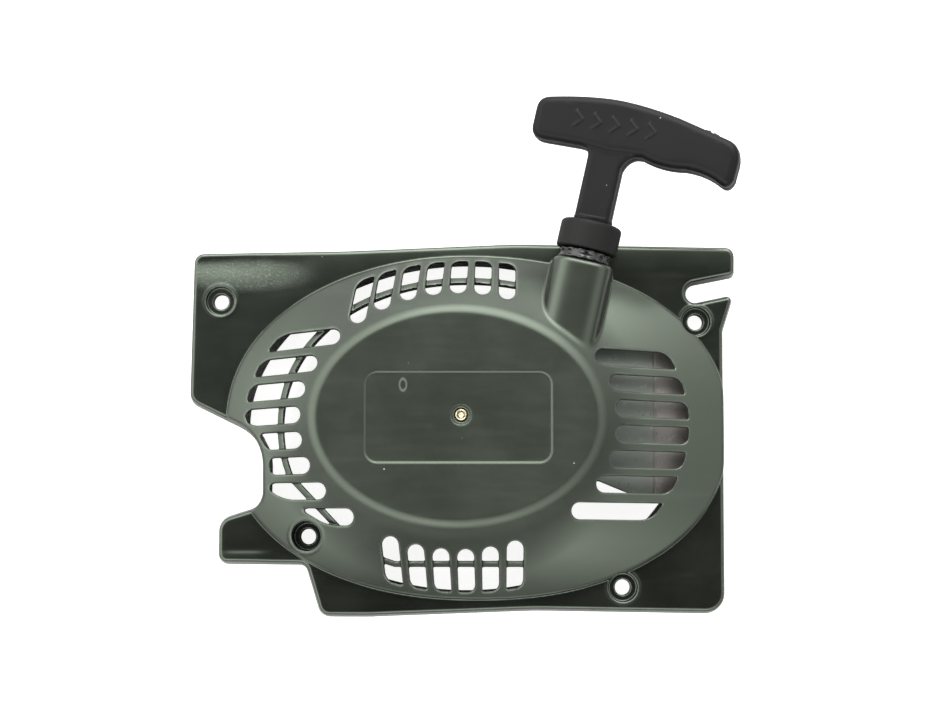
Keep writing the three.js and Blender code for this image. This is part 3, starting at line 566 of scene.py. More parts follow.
def baffle_field(x, y, z):
    upper = dome_field(x, y, z, WALL, WALL + BAFFLE_DROP, 0.6, 1.6)
    lower = dome_field(x, y, z, WALL, WALL + BAFFLE_DROP + BAFFLE_THICKNESS, 0.6, 1.6)
    plan = np.maximum(baffle_plan_field(x, y), -oval_field(x, y, shrunk(DOME_BROW, -0.6)))
    plate = both(without(upper, lower, 0.3), plan, 0.5)
    seam = np.maximum(slab(x, *BAFFLE_SEAM), -SEAM_DEPTH - upper)
    plate = without(plate, seam, 0.15)
    across, along, _ = rope_coordinates(x, y, z)
    plate = without(plate, np.maximum(np.abs(across) - 13, slab(along, 40, 70)), 0.5)
    for cx, cy in BAFFLE_SCREWS:
        plate = without(plate, disc_field(x, y, cx, cy, PILOT), 0.2)
    return plate


# ---- the handle's shape

GRIP_HALF, GRIP_EDGE = 6.5, 3.0
STEM_HALF, STEM_EDGE, STEM_SIDE = 5.2, 1.3, 6.75
GRIP_BAR = curved_outline(
    (13.5, 28.3), (22, 25.3, 31, 26.9), (39, 27.1, 44.9, 23.9), (49.2, 21.3, 50.6, 26.5), (50.9, 33),
    (50.8, 39.9, 45.2, 41.2), (25.4, 46), (10, 49, -1.1, 48.8), (-13, 48.4, -26.6, 45.4),
    (-30.6, 44.4, -30.7, 40.2), (-30.7, 33.1), (-30.7, 28.4, -25.6, 28.4), (-10.5, 28.6), (0, 27.4),
)
GRIP_STEM = curved_outline(
    (STEM_SIDE, 0.3), (STEM_SIDE, 22.5), (8.6, 28.4, 13.5, 28.3), (15, 33), (-12, 33), (-10.5, 28.7),
    (-STEM_SIDE, 28.5, -STEM_SIDE, 24.5), (-STEM_SIDE, 0.3),
)
CHEVRONS = {"count": 5, "x": 1.5, "y": 38.3, "pitch": 7.2, "reach": 1.5, "half": 2.8, "stroke": 0.45}
CHEVRON_RISE = 0.35
FLASH = {"count": 6, "x": 35.6, "y": 43.6, "pitch": 1.2}  # ragged moulding flash on the grip's far edge
STEM_SPIGOT, SPIGOT_DEPTH, STEM_BASE, STEM_BASE_HEIGHT, STEM_BORE = 5.4, 9.6, 7.6, 2.2, 2.4
KNOT_POCKET = (0, 36.25, 10.4, 12.5)
KNOT_POCKET_FLOOR = 4.9


def grip_field(x, y, z):
    bar = outline_field(x, y, GRIP_BAR)
    stem = outline_field(x, y, GRIP_STEM)
    body = both(bar, np.abs(z) - GRIP_HALF, GRIP_EDGE)
    body = either(body, both(stem, np.abs(z) - STEM_HALF, STEM_EDGE), 0.4)
    around = np.minimum(bar, stem)
    body = either(body, both(around - 0.22, np.abs(z) - 0.25, 0.2), 0.15)
    for i in range(CHEVRONS["count"]):
        tip = CHEVRONS["x"] + (i - (CHEVRONS["count"] - 1) / 2) * CHEVRONS["pitch"]
        back = tip - CHEVRONS["reach"]
        tip = tip + CHEVRONS["reach"]
        low, high = CHEVRONS["y"] - CHEVRONS["half"], CHEVRONS["y"] + CHEVRONS["half"]
        mark = line_field(x, y, [(back, low), (tip, CHEVRONS["y"]), (back, high)], CHEVRONS["stroke"])
        mark = both(mark, slab(z, GRIP_HALF - 1, GRIP_HALF + CHEVRON_RISE), 0.2)
        body = either(body, mark, 0.15)
    for i in range(FLASH["count"]):
        nub = (FLASH["x"] + FLASH["pitch"] * i, FLASH["y"] - 0.25 * FLASH["pitch"] * i, 0.4)
        body = either(body, ball_field(x, y, z, nub, 0.75 + 0.3 * math.sin(2.3 * i)), 0.3)
    away = np.hypot(x, z)
    spigot = both(away - STEM_SPIGOT, slab(y, -SPIGOT_DEPTH, 1), 0.6)
    base = both(away - STEM_BASE, slab(y, 0.3, STEM_BASE_HEIGHT), 0.5)
    body = either(np.minimum(body, spigot), base, 0.3)
    body = without(body, np.maximum(away - STEM_BORE, y - 31), 0.3)
    pocket = both(box_field(x, y, *KNOT_POCKET, 1.5), z - KNOT_POCKET_FLOOR, 0.8)
    return without(body, pocket, 0.5)


def collar_field(x, y, z):
    away = np.hypot(x, z)
    body = both(away - 11.8, y, 1.6)
    body = both(body, -10.9 - y, 0.8)
    return without(body, away - STEM_SPIGOT - 0.3, 0.5)


BUSH_BARREL, BUSH_FLANGE, BUSH_BORE = 7, 10.1, 2.7
BUSH_INNER, BUSH_SHOULDER, BUSH_OUTER = 47, 68.7, 72.8  # along the rope line
BUSH_RIBS, BUSH_RIB_HEIGHT = 14, 0.3


def bush_field(x, y, z):
    """The guide bush about the rope line: a barrel in the boss and a ribbed flange outside it."""
    away = np.hypot(x, z)
    turn = np.arctan2(z, x)
    barrel = both(away - BUSH_BARREL, slab(y, BUSH_INNER, BUSH_SHOULDER + 1.3), 0.4)
    ribs = BUSH_FLANGE + BUSH_RIB_HEIGHT * np.cos(BUSH_RIBS * turn)
    flange = both(away - ribs, slab(y, BUSH_SHOULDER, BUSH_OUTER), 0.9)
    body = either(barrel, flange, 0.4)
    waist = np.hypot(away - 11.2, y - 70.6) - 1.5
    body = without(body, waist, 0.3)
    return without(body, away - BUSH_BORE, 1.4)


# ---- the reel and its fasteners

REEL_OUTER, REEL_REAR, REEL_FRONT, REEL_RIM = 38, 16, 27, 24.8
HUB_RADIUS, HUB_BORE, HUB_REAR, HUB_FRONT = 11, 6.45, 12.9, 33
WEB_REAR, WEB_FRONT = 20.6, 23.2
GROOVE_FLOOR, GROOVE_REAR, GROOVE_FRONT = 27.5, 17.5, 25.5
DOG_INNER, DOG_OUTER, DOG_SWEEP, DOG_BOTTOM = 14, 19.5, math.radians(46), 6.6
DOGS, DOG_TOP, DOG_RISE, DOG_RUN = 4, 22, 2.2, 14
SPOKES, SPOKE_HALF, SPOKE_REAR, SPOKE_FRONT = 8, 0.6, 19.2, 22
WEB_HOLE, WEB_HOLE_AWAY = 3.1, 18
KNOT_ANGLE = math.radians(-28)
KNOT_HOLE, KNOT_HOLE_Z = 2.4, 18.6


def turned(x, y, turn):
    """Distances ahead and to the left of a direction round the reel's axis."""
    return x * math.cos(turn) + y * math.sin(turn), y * math.cos(turn) - x * math.sin(turn)


def pulley_field(x, y, z):
    away = np.hypot(x, y)
    body = both(away - REEL_OUTER, slab(z, REEL_REAR, REEL_FRONT), 0.5)
    groove = both(GROOVE_FLOOR - away, slab(z, GROOVE_REAR, GROOVE_FRONT), 0.8)
    body = without(body, groove, 0.4)
    body = without(body, np.maximum(away - REEL_RIM, z - WEB_REAR), 0.5)
    body = without(body, np.maximum(away - REEL_RIM, WEB_FRONT - z), 0.5)
    hub = both(away - HUB_RADIUS, slab(z, HUB_REAR, HUB_FRONT), 0.5)
    body = either(body, hub, 0.8)
    for turn in np.arange(SPOKES) * (2 * math.pi / SPOKES):
        ahead, aside = turned(x, y, turn)
        rib = np.maximum(np.abs(aside) - SPOKE_HALF, slab(ahead, HUB_RADIUS - 1, REEL_RIM + 1))
        body = either(body, np.maximum(rib, slab(z, SPOKE_REAR, SPOKE_FRONT)), 0.5)
    for i in range(DOGS):
        turn = 2 * math.pi / DOGS * i
        first = -turned(x, y, turn)[1]
        last = turned(x, y, turn + DOG_SWEEP)[1]
        dog = both(slab(away, DOG_INNER, DOG_OUTER), np.maximum(first, last), 0.5)
        ramp = DOG_BOTTOM + DOG_RISE * np.clip(-first / DOG_RUN, 0, 1)
        dog = both(np.maximum(dog, z - DOG_TOP), ramp - z, 0.5)
        body = either(body, dog, 0.6)
        ahead, aside = turned(x, y, 2 * math.pi / DOGS * (i + 0.76))
        body = without(body, disc_field(ahead, aside, WEB_HOLE_AWAY, 0, WEB_HOLE), 0.4)
    ahead, aside = turned(x, y, KNOT_ANGLE)
    rope_hole = np.maximum(np.hypot(aside, z - KNOT_HOLE_Z) - KNOT_HOLE, slab(ahead, 20, 30))
    body = without(body, rope_hole, 0.4)
    return without(body, away - HUB_BORE, 0.5)


CASE_OUTER, CASE_WALL, CASE_REAR, CASE_FRONT, CASE_FLOOR, CASE_BORE = 34, 1.4, 27.7, 34.1, 1.0, 11.5
CASE_EARS, EARS_FRONT = (0, 0, 93, 8.8, 3.5), 29.3


def case_field(x, y, z):
    away = np.hypot(x, y)
    cup = both(away - CASE_OUTER, slab(z, CASE_REAR, CASE_FRONT), 0.6)
    ears = both(box_field(x, y, *CASE_EARS), slab(z, CASE_REAR, EARS_FRONT), 0.35)
    body = either(cup, ears, 0.8)
    well = both(away - CASE_OUTER + CASE_WALL, z - CASE_FRONT + CASE_FLOOR, 0.5)
    body = without(body, well, 0.3)
    body = without(body, away - CASE_BORE, 0.3)
    for side in (-1, 1):
        body = without(body, disc_field(x, y, side * CASE_SCREW_AT, 0, PILOT), 0.2)
    return body


def cross_recess(x, y, half_width, reach):
    """A screwdriver's cross."""
    first = np.maximum(np.abs(x) - half_width, np.abs(y) - reach)
    second = np.maximum(np.abs(y) - half_width, np.abs(x) - reach)
    return either(first, second, half_width * 0.6)


def pulley_screw_field(x, y, z):
    away = np.hypot(x, y)
    head = both(away - 5, slab(z, 7.9, 10.8), 1.1)
    thread = 0.12 * np.sin(2 * np.pi * z / 0.9 - np.arctan2(y, x)) * (z > 14)
    shank = both(away - 1.7 - thread, slab(z, 10, 29), 0.3)
    body = either(head, shank, 0.3)
    taper = (9.7 - z) * 0.5
    recess = np.maximum(cross_recess(x, y, 0.6, 1.9 + taper * 0.6), z - 9.7)
    return without(body, recess, 0.15)


def washer_field(x, y, z):
    away = np.hypot(x, y)
    return without(both(away - 9.2, slab(z, 11.1, 12.4), 0.25), away - 2.2, 0.15)


SMALL_HEAD_HEIGHT = 1.8


def small_screw_field(x, y, z):
    """A pan-head screw whose head's underside is at z = 0, with its shank up."""
    away = np.hypot(x, y)
    dome = ball_field(x, y, z, (0, 0, 1.7), 3.5)
    head = both(away - 2.8, -z - SMALL_HEAD_HEIGHT, 0.4)
    head = np.maximum(np.maximum(head, dome), z)
    thread = 0.13 * np.sin(2 * np.pi * z / 1.0 - np.arctan2(y, x))
    shank = both(away - 1.12 - thread + np.maximum(z - 3.8, 0) * 0.5, slab(z, -0.5, 5), 0.15)
    body = either(head, shank, 0.15)
    recess = np.maximum(cross_recess(x, y, 0.36, 1.5 - (z + SMALL_HEAD_HEIGHT) * 0.7), z + 0.7)
    return without(body, recess, 0.1)


def insert_field(x, y, z):
    """The brass insert in the cover's post, with a swaged pin in its front end."""
    away = np.hypot(x, y)
    body = both(away - 3.3, slab(z, 13, 32), 0.3)
    knurl = 0.12 * np.cos(24 * np.arctan2(y, x)) * (np.abs(z - 22) < 6)
    body = np.maximum(body, away - 3.18 - knurl)
    neck = both(away - 2.1, slab(z, 30, 36.75), 0.25)
    body = either(body, neck, 0.2)
    body = without(body, np.maximum(away - 2.1, z - 31), 0.2)
    body = without(body, np.maximum(away - 1.55, 34.5 - z), 0.15)
    pin = both(away - 1.05, slab(z, 31, 36.5), 0.3)
    pin = without(pin, ball_field(x, y, z, (0.1, -0.1, 37.2), 1.1), 0.2)
    split = np.maximum(disc_field(x, y, 1.9, -0.75, 0.55), 35.6 - z)
    return without(np.minimum(body, pin), split, 0.15)


def knot_washer_field(x, y, z):
    away = np.hypot(x, z)
    return without(both(away - 4.5, slab(y, 30.3, 31.3), 0.2), away - 2.1, 0.15)


# ---- rope, knots and spring

ROPE_RADIUS = 1.8


def tube(name, path, radius, sides, place):
    """A round tube along points in millimetres, closed at both ends by a dome."""
    path = np.array(path, float)
    ahead = np.gradient(path, axis=0)
    ahead /= np.linalg.norm(ahead, axis=1)[:, None]
    side = np.cross(ahead[0], (0.3, 0.2, 1.0))
    rings = []
    turns = np.arange(sides) * 2 * math.pi / sides
    for point, direction in zip(path, ahead):
        side = side - direction * side.dot(direction)
        side /= np.linalg.norm(side)
        up = np.cross(direction, side)
        rings.append((point, side, up, radius))
    for scale in (0.92, 0.7, 0.35):
        reach = radius * math.sqrt(1 - scale * scale)
        first, last = rings[0], rings[-1]
        rings.insert(0, (path[0] - ahead[0] * reach, first[1], first[2], radius * scale))
        rings.append((path[-1] + ahead[-1] * reach, last[1], last[2], radius * scale))
    points = [
        centre + size * (math.cos(turn) * side + math.sin(turn) * up)
        for centre, side, up, size in rings
        for turn in turns
    ]
    faces = [
        (r * sides + i, r * sides + (i + 1) % sides, (r + 1) * sides + (i + 1) % sides, (r + 1) * sides + i)
        for r in range(len(rings) - 1)
        for i in range(sides)
    ]
    faces.append(tuple(reversed(range(sides))))
    faces.append(tuple((len(rings) - 1) * sides + i for i in range(sides)))
    mesh = bpy.data.meshes.new(name)
    mesh.from_pydata([tuple(p) for p in points], [], faces)
    mesh.shade_smooth()
    steps = np.concatenate([[0], np.cumsum(np.linalg.norm(np.diff(path, axis=0), axis=1))])
    along = np.concatenate([[0] * 3, steps, [steps[-1]] * 3])
    mesh.attributes.new("along", "FLOAT", "POINT").data.foreach_set("value", np.repeat(along, sides))
    around = np.tile(turns, len(rings))
    for key, wave in (("around_x", np.cos(around)), ("around_y", np.sin(around))):
        mesh.attributes.new(key, "FLOAT", "POINT").data.foreach_set("value", wave)
    mesh.transform(place)
    return bpy.data.objects.new(name, mesh)


TURNS, WINDING_STEPS = 4, 900
FIRST_LAYER, LAYER_STEP = 29.6, 3.2
FIRST_ROW, ROW_STEP = 19.5, 4.0
CROSSING = 0.12  # the part of a turn in which the rope steps to the next row or layer


def crossed(turns, at):
    """0 up to a place in the winding, and 1 from a crossing's length after it."""
    t = min(max((turns - at) / CROSSING, 0), 1)
    return t * t * (3 - 2 * t)


def winding_path():
    """Four turns on the reel, from the knot's hole to where the rope leaves on its tangent."""
    leave = math.atan2(ROPE_DIRECTION.y, ROPE_DIRECTION.x) - math.pi / 2
    start = KNOT_ANGLE - leave - TURNS * 2 * math.pi
    path = []
    for radius in np.linspace(23.4, 28.2, 8):
        path.append((radius * math.cos(KNOT_ANGLE), radius * math.sin(KNOT_ANGLE), KNOT_HOLE_Z))
    for k in range(26, WINDING_STEPS + 1):
        turn = start - start * k / WINDING_STEPS
        turns = turn / (2 * math.pi)
        radius = FIRST_LAYER + LAYER_STEP * crossed(turns, -2.06)
        row = crossed(turns, -3.06) - crossed(turns, -1.06) + crossed(turns, -CROSSING) / 2
        z = FIRST_ROW + ROW_STEP * row
        path.append((radius * math.cos(leave + turn), radius * math.sin(leave + turn), z))
    return path


def knot_path(size, centre):
    """An overhand knot: most of a trefoil."""
    count, skipped = 97, 6
    path = []
    for k in range(count):
        t = 2 * math.pi * (k + skipped) / (count + 2 * skipped)
        x = math.sin(t) + 2 * math.sin(2 * t)
        y = math.cos(t) - 2 * math.cos(2 * t)
        z = -1.5 * math.sin(3 * t)
        path.append((centre[0] + x * size, centre[1] + y * size, centre[2] + z * size))
    return path


def spring_strip():
    """The recoil spring: a flat strip wound in its case, bent in a little at its inner end."""
    turns, inner, outer, half = 12, 12.3, 31.6, 0.28
    rear, front = 28, 32.6
    hook_steps, hook_depth = 10, 0.5
    steps = turns * 48
    points, faces = [], []
    for k in range(steps + 1):
        t = k / steps
        radius = inner + (outer - inner) * t**0.92
        turn = 2 * math.pi * turns * t
        radius -= hook_depth * max(1 - k / hook_steps, 0)
        for side, z in ((-1, rear), (1, rear), (1, front), (-1, front)):
            away = radius + side * half
            points.append((away * math.cos(turn), away * math.sin(turn), z))
    for k in range(steps):
        for i in range(4):
            a, b = 4 * k + i, 4 * k + (i + 1) % 4
            faces.append((a, b, b + 4, a + 4))
    faces += [(3, 2, 1, 0), tuple(4 * steps + i for i in range(4))]
    mesh = bpy.data.meshes.new("spring_strip")
    mesh.from_pydata(points, [], faces)
    mesh.transform(REEL_FRAME)
    return bpy.data.objects.new("spring_strip", mesh)


# ---- materials


class Nodes:
    """A material's node tree, built by short calls."""

    def __init__(self, name, base, roughness, **sockets):
        self.material = bpy.data.materials.new(name)
        self.material.use_nodes = True
        self.tree = self.material.node_tree
        self.shader = self.tree.nodes["Principled BSDF"]
        self.shader.inputs["Base Color"].default_value = (*base, 1)
        self.shader.inputs["Roughness"].default_value = roughness
        for socket, value in sockets.items():
            self.shader.inputs[socket.replace("_", " ")].default_value = value
        self.position = self.node("ShaderNodeTexCoord").outputs["Object"]

    def node(self, kind, inputs=None, **settings):
        made = self.tree.nodes.new(kind)
        for key, value in settings.items():
            setattr(made, key, value)
        for key, value in (inputs or {}).items():
            self.join(value, made.inputs[key])
        return made

    def join(self, value, socket):
        if isinstance(value, bpy.types.NodeSocket):
            self.tree.links.new(value, socket)
        elif hasattr(socket.default_value, "__len__") and not hasattr(value, "__len__"):
            socket.default_value = (value,) * len(socket.default_value)
        else:
            socket.default_value = value

    def math(self, operation, a, b=0.0, c=0.0):
        return self.node("ShaderNodeMath", {0: a, 1: b, 2: c}, operation=operation).outputs[0]

    def times(self, a, b):
        return self.math("MULTIPLY", a, b)

    def plus(self, a, b):
        return self.math("ADD", a, b)

    def ramp(self, value, low, high, to_low=0.0, to_high=1.0):
        """A smooth step from one value to another."""
        made = self.node(
            "ShaderNodeMapRange",
            {"Value": value, "From Min": low, "From Max": high, "To Min": to_low, "To Max": to_high},
            interpolation_type="SMOOTHSTEP",
        )
        return made.outputs["Result"]

    def mix(self, share, a, b):
        """A colour between two colours."""
        made = self.node("ShaderNodeMix", data_type="RGBA")
        factor, first, second = made.inputs[0], made.inputs[6], made.inputs[7]
        for value, socket in ((share, factor), (a, first), (b, second)):
            self.join((*value, 1) if isinstance(value, tuple) else value, socket)
        return made.outputs[2]

    def scaled(self, x=1.0, y=1.0, z=1.0):
        """Object coordinates with each axis stretched."""
        made = self.node("ShaderNodeMapping", {"Vector": self.position, "Scale": (x, y, z)})
        return made.outputs["Vector"]

    def noise(self, scale, detail=2.0, vector=None, roughness=0.5):
        made = self.node(
            "ShaderNodeTexNoise",
            {"Vector": vector or self.position, "Scale": scale, "Detail": detail, "Roughness": roughness},
        )
        return made.outputs["Fac"]

    def grains(self, scale, vector=None):
        """Distance to the nearest of many scattered points."""
        made = self.node("ShaderNodeTexVoronoi", {"Vector": vector or self.position, "Scale": scale})
        return made.outputs["Distance"]

    def attribute(self, name):
        return self.node("ShaderNodeAttribute", attribute_name=name).outputs["Fac"]

    def axis(self, index):
        made = self.node("ShaderNodeSeparateXYZ", {"Vector": self.position})
        return made.outputs[index]

    def near(self, x, y, reach_x, reach_y):
        """Distance in plan from a point in the reel's frame, 1 at the edge of an oval round it."""
        parts = []
        for index, centre, reach in ((0, REEL.x + x * MM, reach_x), (1, REEL.y + y * MM, reach_y)):
            away = self.math("DIVIDE", self.math("SUBTRACT", self.axis(index), centre), reach * MM)
            parts.append(self.times(away, away))
        return self.math("SQRT", self.plus(*parts))

    def bump(self, height, distance, strength=1.0):
        previous = self.shader.inputs["Normal"].links
        made = self.node("ShaderNodeBump", {"Height": height, "Distance": distance, "Strength": strength})
        if previous:
            self.tree.links.new(previous[0].from_socket, made.inputs["Normal"])
        self.tree.links.new(made.outputs["Normal"], self.shader.inputs["Normal"])

    def set(self, socket, value):
        self.join(value, self.shader.inputs[socket])


def cover_plastic():
    made = Nodes("cover_plastic", (0.01, 0.011, 0.009), 0.4, IOR=1.68, Specular_Tint=(0.85, 1.0, 0.80, 1))
    height = made.axis(2)
    crown = made.ramp(height, 0.0305, 0.034)
    flange = made.ramp(height, 0.0088, 0.0079)
    mottle = made.noise(22, 4, roughness=0.6)
    grain = made.noise(2600, 2)
    smear = made.noise(60, 5, made.scaled(1, 5, 1))
    rough = made.plus(0.30, made.times(crown, 0.06))
    rough = made.math("SUBTRACT", rough, made.times(flange, 0.08))
    rough = made.plus(rough, made.ramp(mottle, 0.3, 0.7, -0.03, 0.03))
    rough = made.plus(rough, made.ramp(smear, 0.4, 0.8, 0, 0.03))
    # a patch on the flange's upper-left corner: its extra roughness and bump are a frosted finish, and the
    # pale speckle it gives the base colour below is painted glare of the key light
    frost_and_glare = made.times(made.ramp(made.near(-86, 56.5, 32, 8), 1, 0.5), flange)
    rough = made.plus(rough, made.times(frost_and_glare, 0.16))
    scratch = made.ramp(made.noise(70, 3, made.scaled(9, 0.5, 1)), 0.68, 0.74)
    rough = made.plus(rough, made.times(scratch, 0.03))
    made.set("Roughness", rough)
    edge = made.ramp(made.attribute("bend"), 0.35, 1.6)
    edge = made.times(edge, made.ramp(made.noise(180, 3), 0.35, 0.7, 0.3, 1))
    tone = made.mix(made.ramp(mottle, 0.35, 0.7), (0.0026, 0.0029, 0.0023), (0.0042, 0.0046, 0.0036))
    tone = made.mix(edge, tone, (0.03, 0.033, 0.029))
    specks = made.ramp(made.grains(95), 0.035, 0.02)
    specks = made.times(specks, made.ramp(made.noise(40, 1), 0.55, 0.6))
    tone = made.mix(specks, tone, (0.22, 0.23, 0.21))
    blemish = made.math("ABSOLUTE", made.math("SUBTRACT", made.near(-21.9, 11.4, 1.3, 2.2), 1))
    blemish = made.times(made.ramp(blemish, 0.35, 0.12), crown)
    tone = made.mix(made.times(blemish, 0.6), tone, (0.09, 0.095, 0.088))
    flow = made.ramp(made.noise(35, 3, made.scaled(0.5, 3, 1)), 0.6, 0.75, 0, 0.25)
    tone = made.mix(flow, tone, (0.02, 0.022, 0.019))
    pitted = made.ramp(made.near(-41, -48, 3.5, 5), 1, 0.4)
    pits = made.times(made.ramp(made.grains(900), 0.32, 0.2), pitted)
    tone = made.mix(made.times(pits, 0.8), tone, (0.002, 0.002, 0.002))
    frost_and_glare_grain = made.noise(1100, 4, roughness=0.7)
    # painted glare: pale speckle in the base colour over the frosted patch on the flange's upper-left
    # corner
    painted_glare_speckle = made.times(frost_and_glare, made.ramp(frost_and_glare_grain, 0.5, 0.7, 0, 0.5))
    made.set("Base Color", made.mix(painted_glare_speckle, tone, (0.09, 0.095, 0.09)))
    made.bump(grain, 0.00002, 0.5)
    made.bump(made.noise(9, 3), 0.0006, 0.25)
    made.bump(made.times(frost_and_glare, frost_and_glare_grain), 0.00016, 0.6)
    return made.material


def dark_plastic(name, low, high, roughness, grain_size, relief, **sockets):
    """A moulded plastic or rubber: mottled, grained, paler along its edges, with a few pale specks."""
    made = Nodes(name, low, roughness, **sockets)
    grain = made.noise(grain_size, 3)
    mottle = made.noise(45, 4, roughness=0.6)
    rough = made.ramp(mottle, 0.3, 0.7, roughness - 0.05, roughness + 0.06)
    made.set("Roughness", made.plus(rough, made.ramp(grain, 0.4, 0.7, 0, 0.05)))
    edge = made.times(made.ramp(made.attribute("bend"), 0.4, 1.8), made.ramp(mottle, 0.3, 0.6, 0.5, 1))
    tone = made.mix(mottle, low, high)
    tone = made.mix(edge, tone, tuple(2.2 * c + 0.004 for c in high))
    specks = made.ramp(made.grains(110), 0.03, 0.018)
    specks = made.times(specks, made.ramp(made.noise(60, 1), 0.56, 0.6))
    made.set("Base Color", made.mix(specks, tone, (0.3, 0.3, 0.29)))
    made.bump(grain, relief, 0.6)
    return made.material


def baffle_plastic():
    """The air plate's plastic: brownish on the right of its seam, greener on the left, and dusty."""
    made = Nodes("baffle_plastic", (0.03, 0.03, 0.028), 0.5, IOR=1.6)
    right = made.ramp(made.axis(0), REEL.x + 0.071, REEL.x + 0.077)
    dust = made.noise(300, 6, roughness=0.7)
    mottle = made.noise(40, 4, made.scaled(1, 4, 1), roughness=0.6)
    tone = made.mix(right, (0.1, 0.12, 0.1), (0.16, 0.143, 0.13))
    tone = made.mix(made.ramp(mottle, 0.35, 0.7, 0, 0.6), tone, (0.12, 0.122, 0.11))
    tone = made.mix(made.ramp(dust, 0.56, 0.75, 0, 0.5), tone, (0.32, 0.31, 0.29))
    pits = made.times(made.ramp(made.grains(520), 0.16, 0.1), made.ramp(made.noise(90, 2), 0.52, 0.6))
    made.set("Base Color", made.mix(pits, tone, (0.006, 0.006, 0.005)))
    made.set("Roughness", made.ramp(mottle, 0.3, 0.7, 0.46, 0.6))
    made.bump(dust, 0.00006, 0.5)
    return made.material


STRANDS = 8
STRAND_PITCH = 2.6  # radians of the braid for each millimetre of rope


def rope_fibre(name, straight):
    """Braided cord: two sets of strands crossing, along the rope line or from the mesh's own attributes."""
    made = Nodes(name, (0.55, 0.53, 0.48), 0.75, Sheen_Weight=0.4, Sheen_Roughness=0.5)
    if straight:
        along = dot(made, made.position, ROPE_DIRECTION)
        across = made.math("SUBTRACT", dot(made, made.position, ROPE_ACROSS), ROPE_START.dot(ROPE_ACROSS))
        above = made.math("SUBTRACT", made.axis(2), ROPE_START.z)
        turn = made.math("ARCTAN2", above, across)
        along = made.times(along, 1 / MM)
    else:
        along = made.attribute("along")
        turn = made.math("ARCTAN2", made.attribute("around_y"), made.attribute("around_x"))
    strands = [
        made.math("SINE", made.plus(made.times(turn, side * STRANDS), made.times(along, STRAND_PITCH)))
        for side in (-1, 1)
    ]
    weave = made.times(strands[0], strands[1])
    fleck = made.math("MAXIMUM", strands[0], made.times(strands[1], 0.7))
    # painted shade: the cord is darker where the weave's relief is low, in the hollows between strands
    tone = made.mix(made.ramp(weave, -0.6, 0.3), (0.2, 0.19, 0.17), (0.62, 0.6, 0.55))
    tone = made.mix(made.ramp(fleck, 0.85, 1.0, 0, 0.6), tone, (0.08, 0.09, 0.11))
    made.set("Base Color", tone)
    made.bump(weave, 0.00025, 0.9)
    made.bump(made.noise(4000, 2), 0.00005, 0.5)
    return made.material


def dot(made, vector, direction):
    x, y, z = direction
    found = made.node("ShaderNodeVectorMath", {0: vector, 1: (x, y, z)}, operation="DOT_PRODUCT")
    return found.outputs["Value"]


def metal(name, tone, stain, roughness, stretch=(1, 1, 1)):
    """Plated or bright metal, a little stained, with fine marks."""
    made = Nodes(name, tone, roughness, Metallic=1.0)
    mottle = made.noise(260, 5, roughness=0.65)
    marks = made.noise(900, 4, made.scaled(*stretch))
    made.set("Base Color", made.mix(made.ramp(mottle, 0.45, 0.75), tone, stain))
    made.set("Roughness", made.ramp(marks, 0.3, 0.7, roughness - 0.08, roughness + 0.12))
    made.bump(marks, 0.00002, 0.4)
    return made.material


ROPE_START = ROPE_FRAME.translation.copy()
plastic = cover_plastic()
grip = dark_plastic(
    "grip_plastic", (0.0025, 0.0026, 0.0026), (0.004, 0.0041, 0.0041),
    roughness=0.42, grain_size=1500, relief=0.00004, Specular_IOR_Level=0.14,
)
rubber = dark_plastic(
    "collar_rubber", (0.004, 0.004, 0.0039), (0.006, 0.006, 0.0057),
    roughness=0.55, grain_size=900, relief=0.00006, Specular_IOR_Level=0.15,
)
gloss = dark_plastic(
    "bush_plastic", (0.003, 0.003, 0.003), (0.005, 0.005, 0.005),
    roughness=0.18, grain_size=1500, relief=0.00001, IOR=1.5,
)
nylon = dark_plastic(
    "black_nylon", (0.012, 0.012, 0.012), (0.02, 0.02, 0.019),
    roughness=0.4, grain_size=1200, relief=0.00004, IOR=1.53,
)
air_plate = baffle_plastic()
ROPE_SLOT = "starter_rope"
rope = rope_fibre(ROPE_SLOT, straight=True)
wound_rope = rope_fibre("starter_rope_wound", straight=False)
zinc = metal("zinc_steel", (0.62, 0.62, 0.6), (0.42, 0.4, 0.36), 0.3)
brass = metal("brass", (0.78, 0.72, 0.52), (0.42, 0.37, 0.24), 0.26)
spring_metal = metal("spring_steel", (0.35, 0.37, 0.42), (0.2, 0.19, 0.2), 0.28, (1, 1, 6))

# ---- pieces

HOUSING_LOW, HOUSING_HIGH = (-109, -79, -1.5), (110, 72, 39)
housing = skin("housing_shell", housing_field, HOUSING_LOW, HOUSING_HIGH, 0.5, REEL_FRAME, adaptivity=0.0)
add(housing, "cover", plastic, "starter_housing")
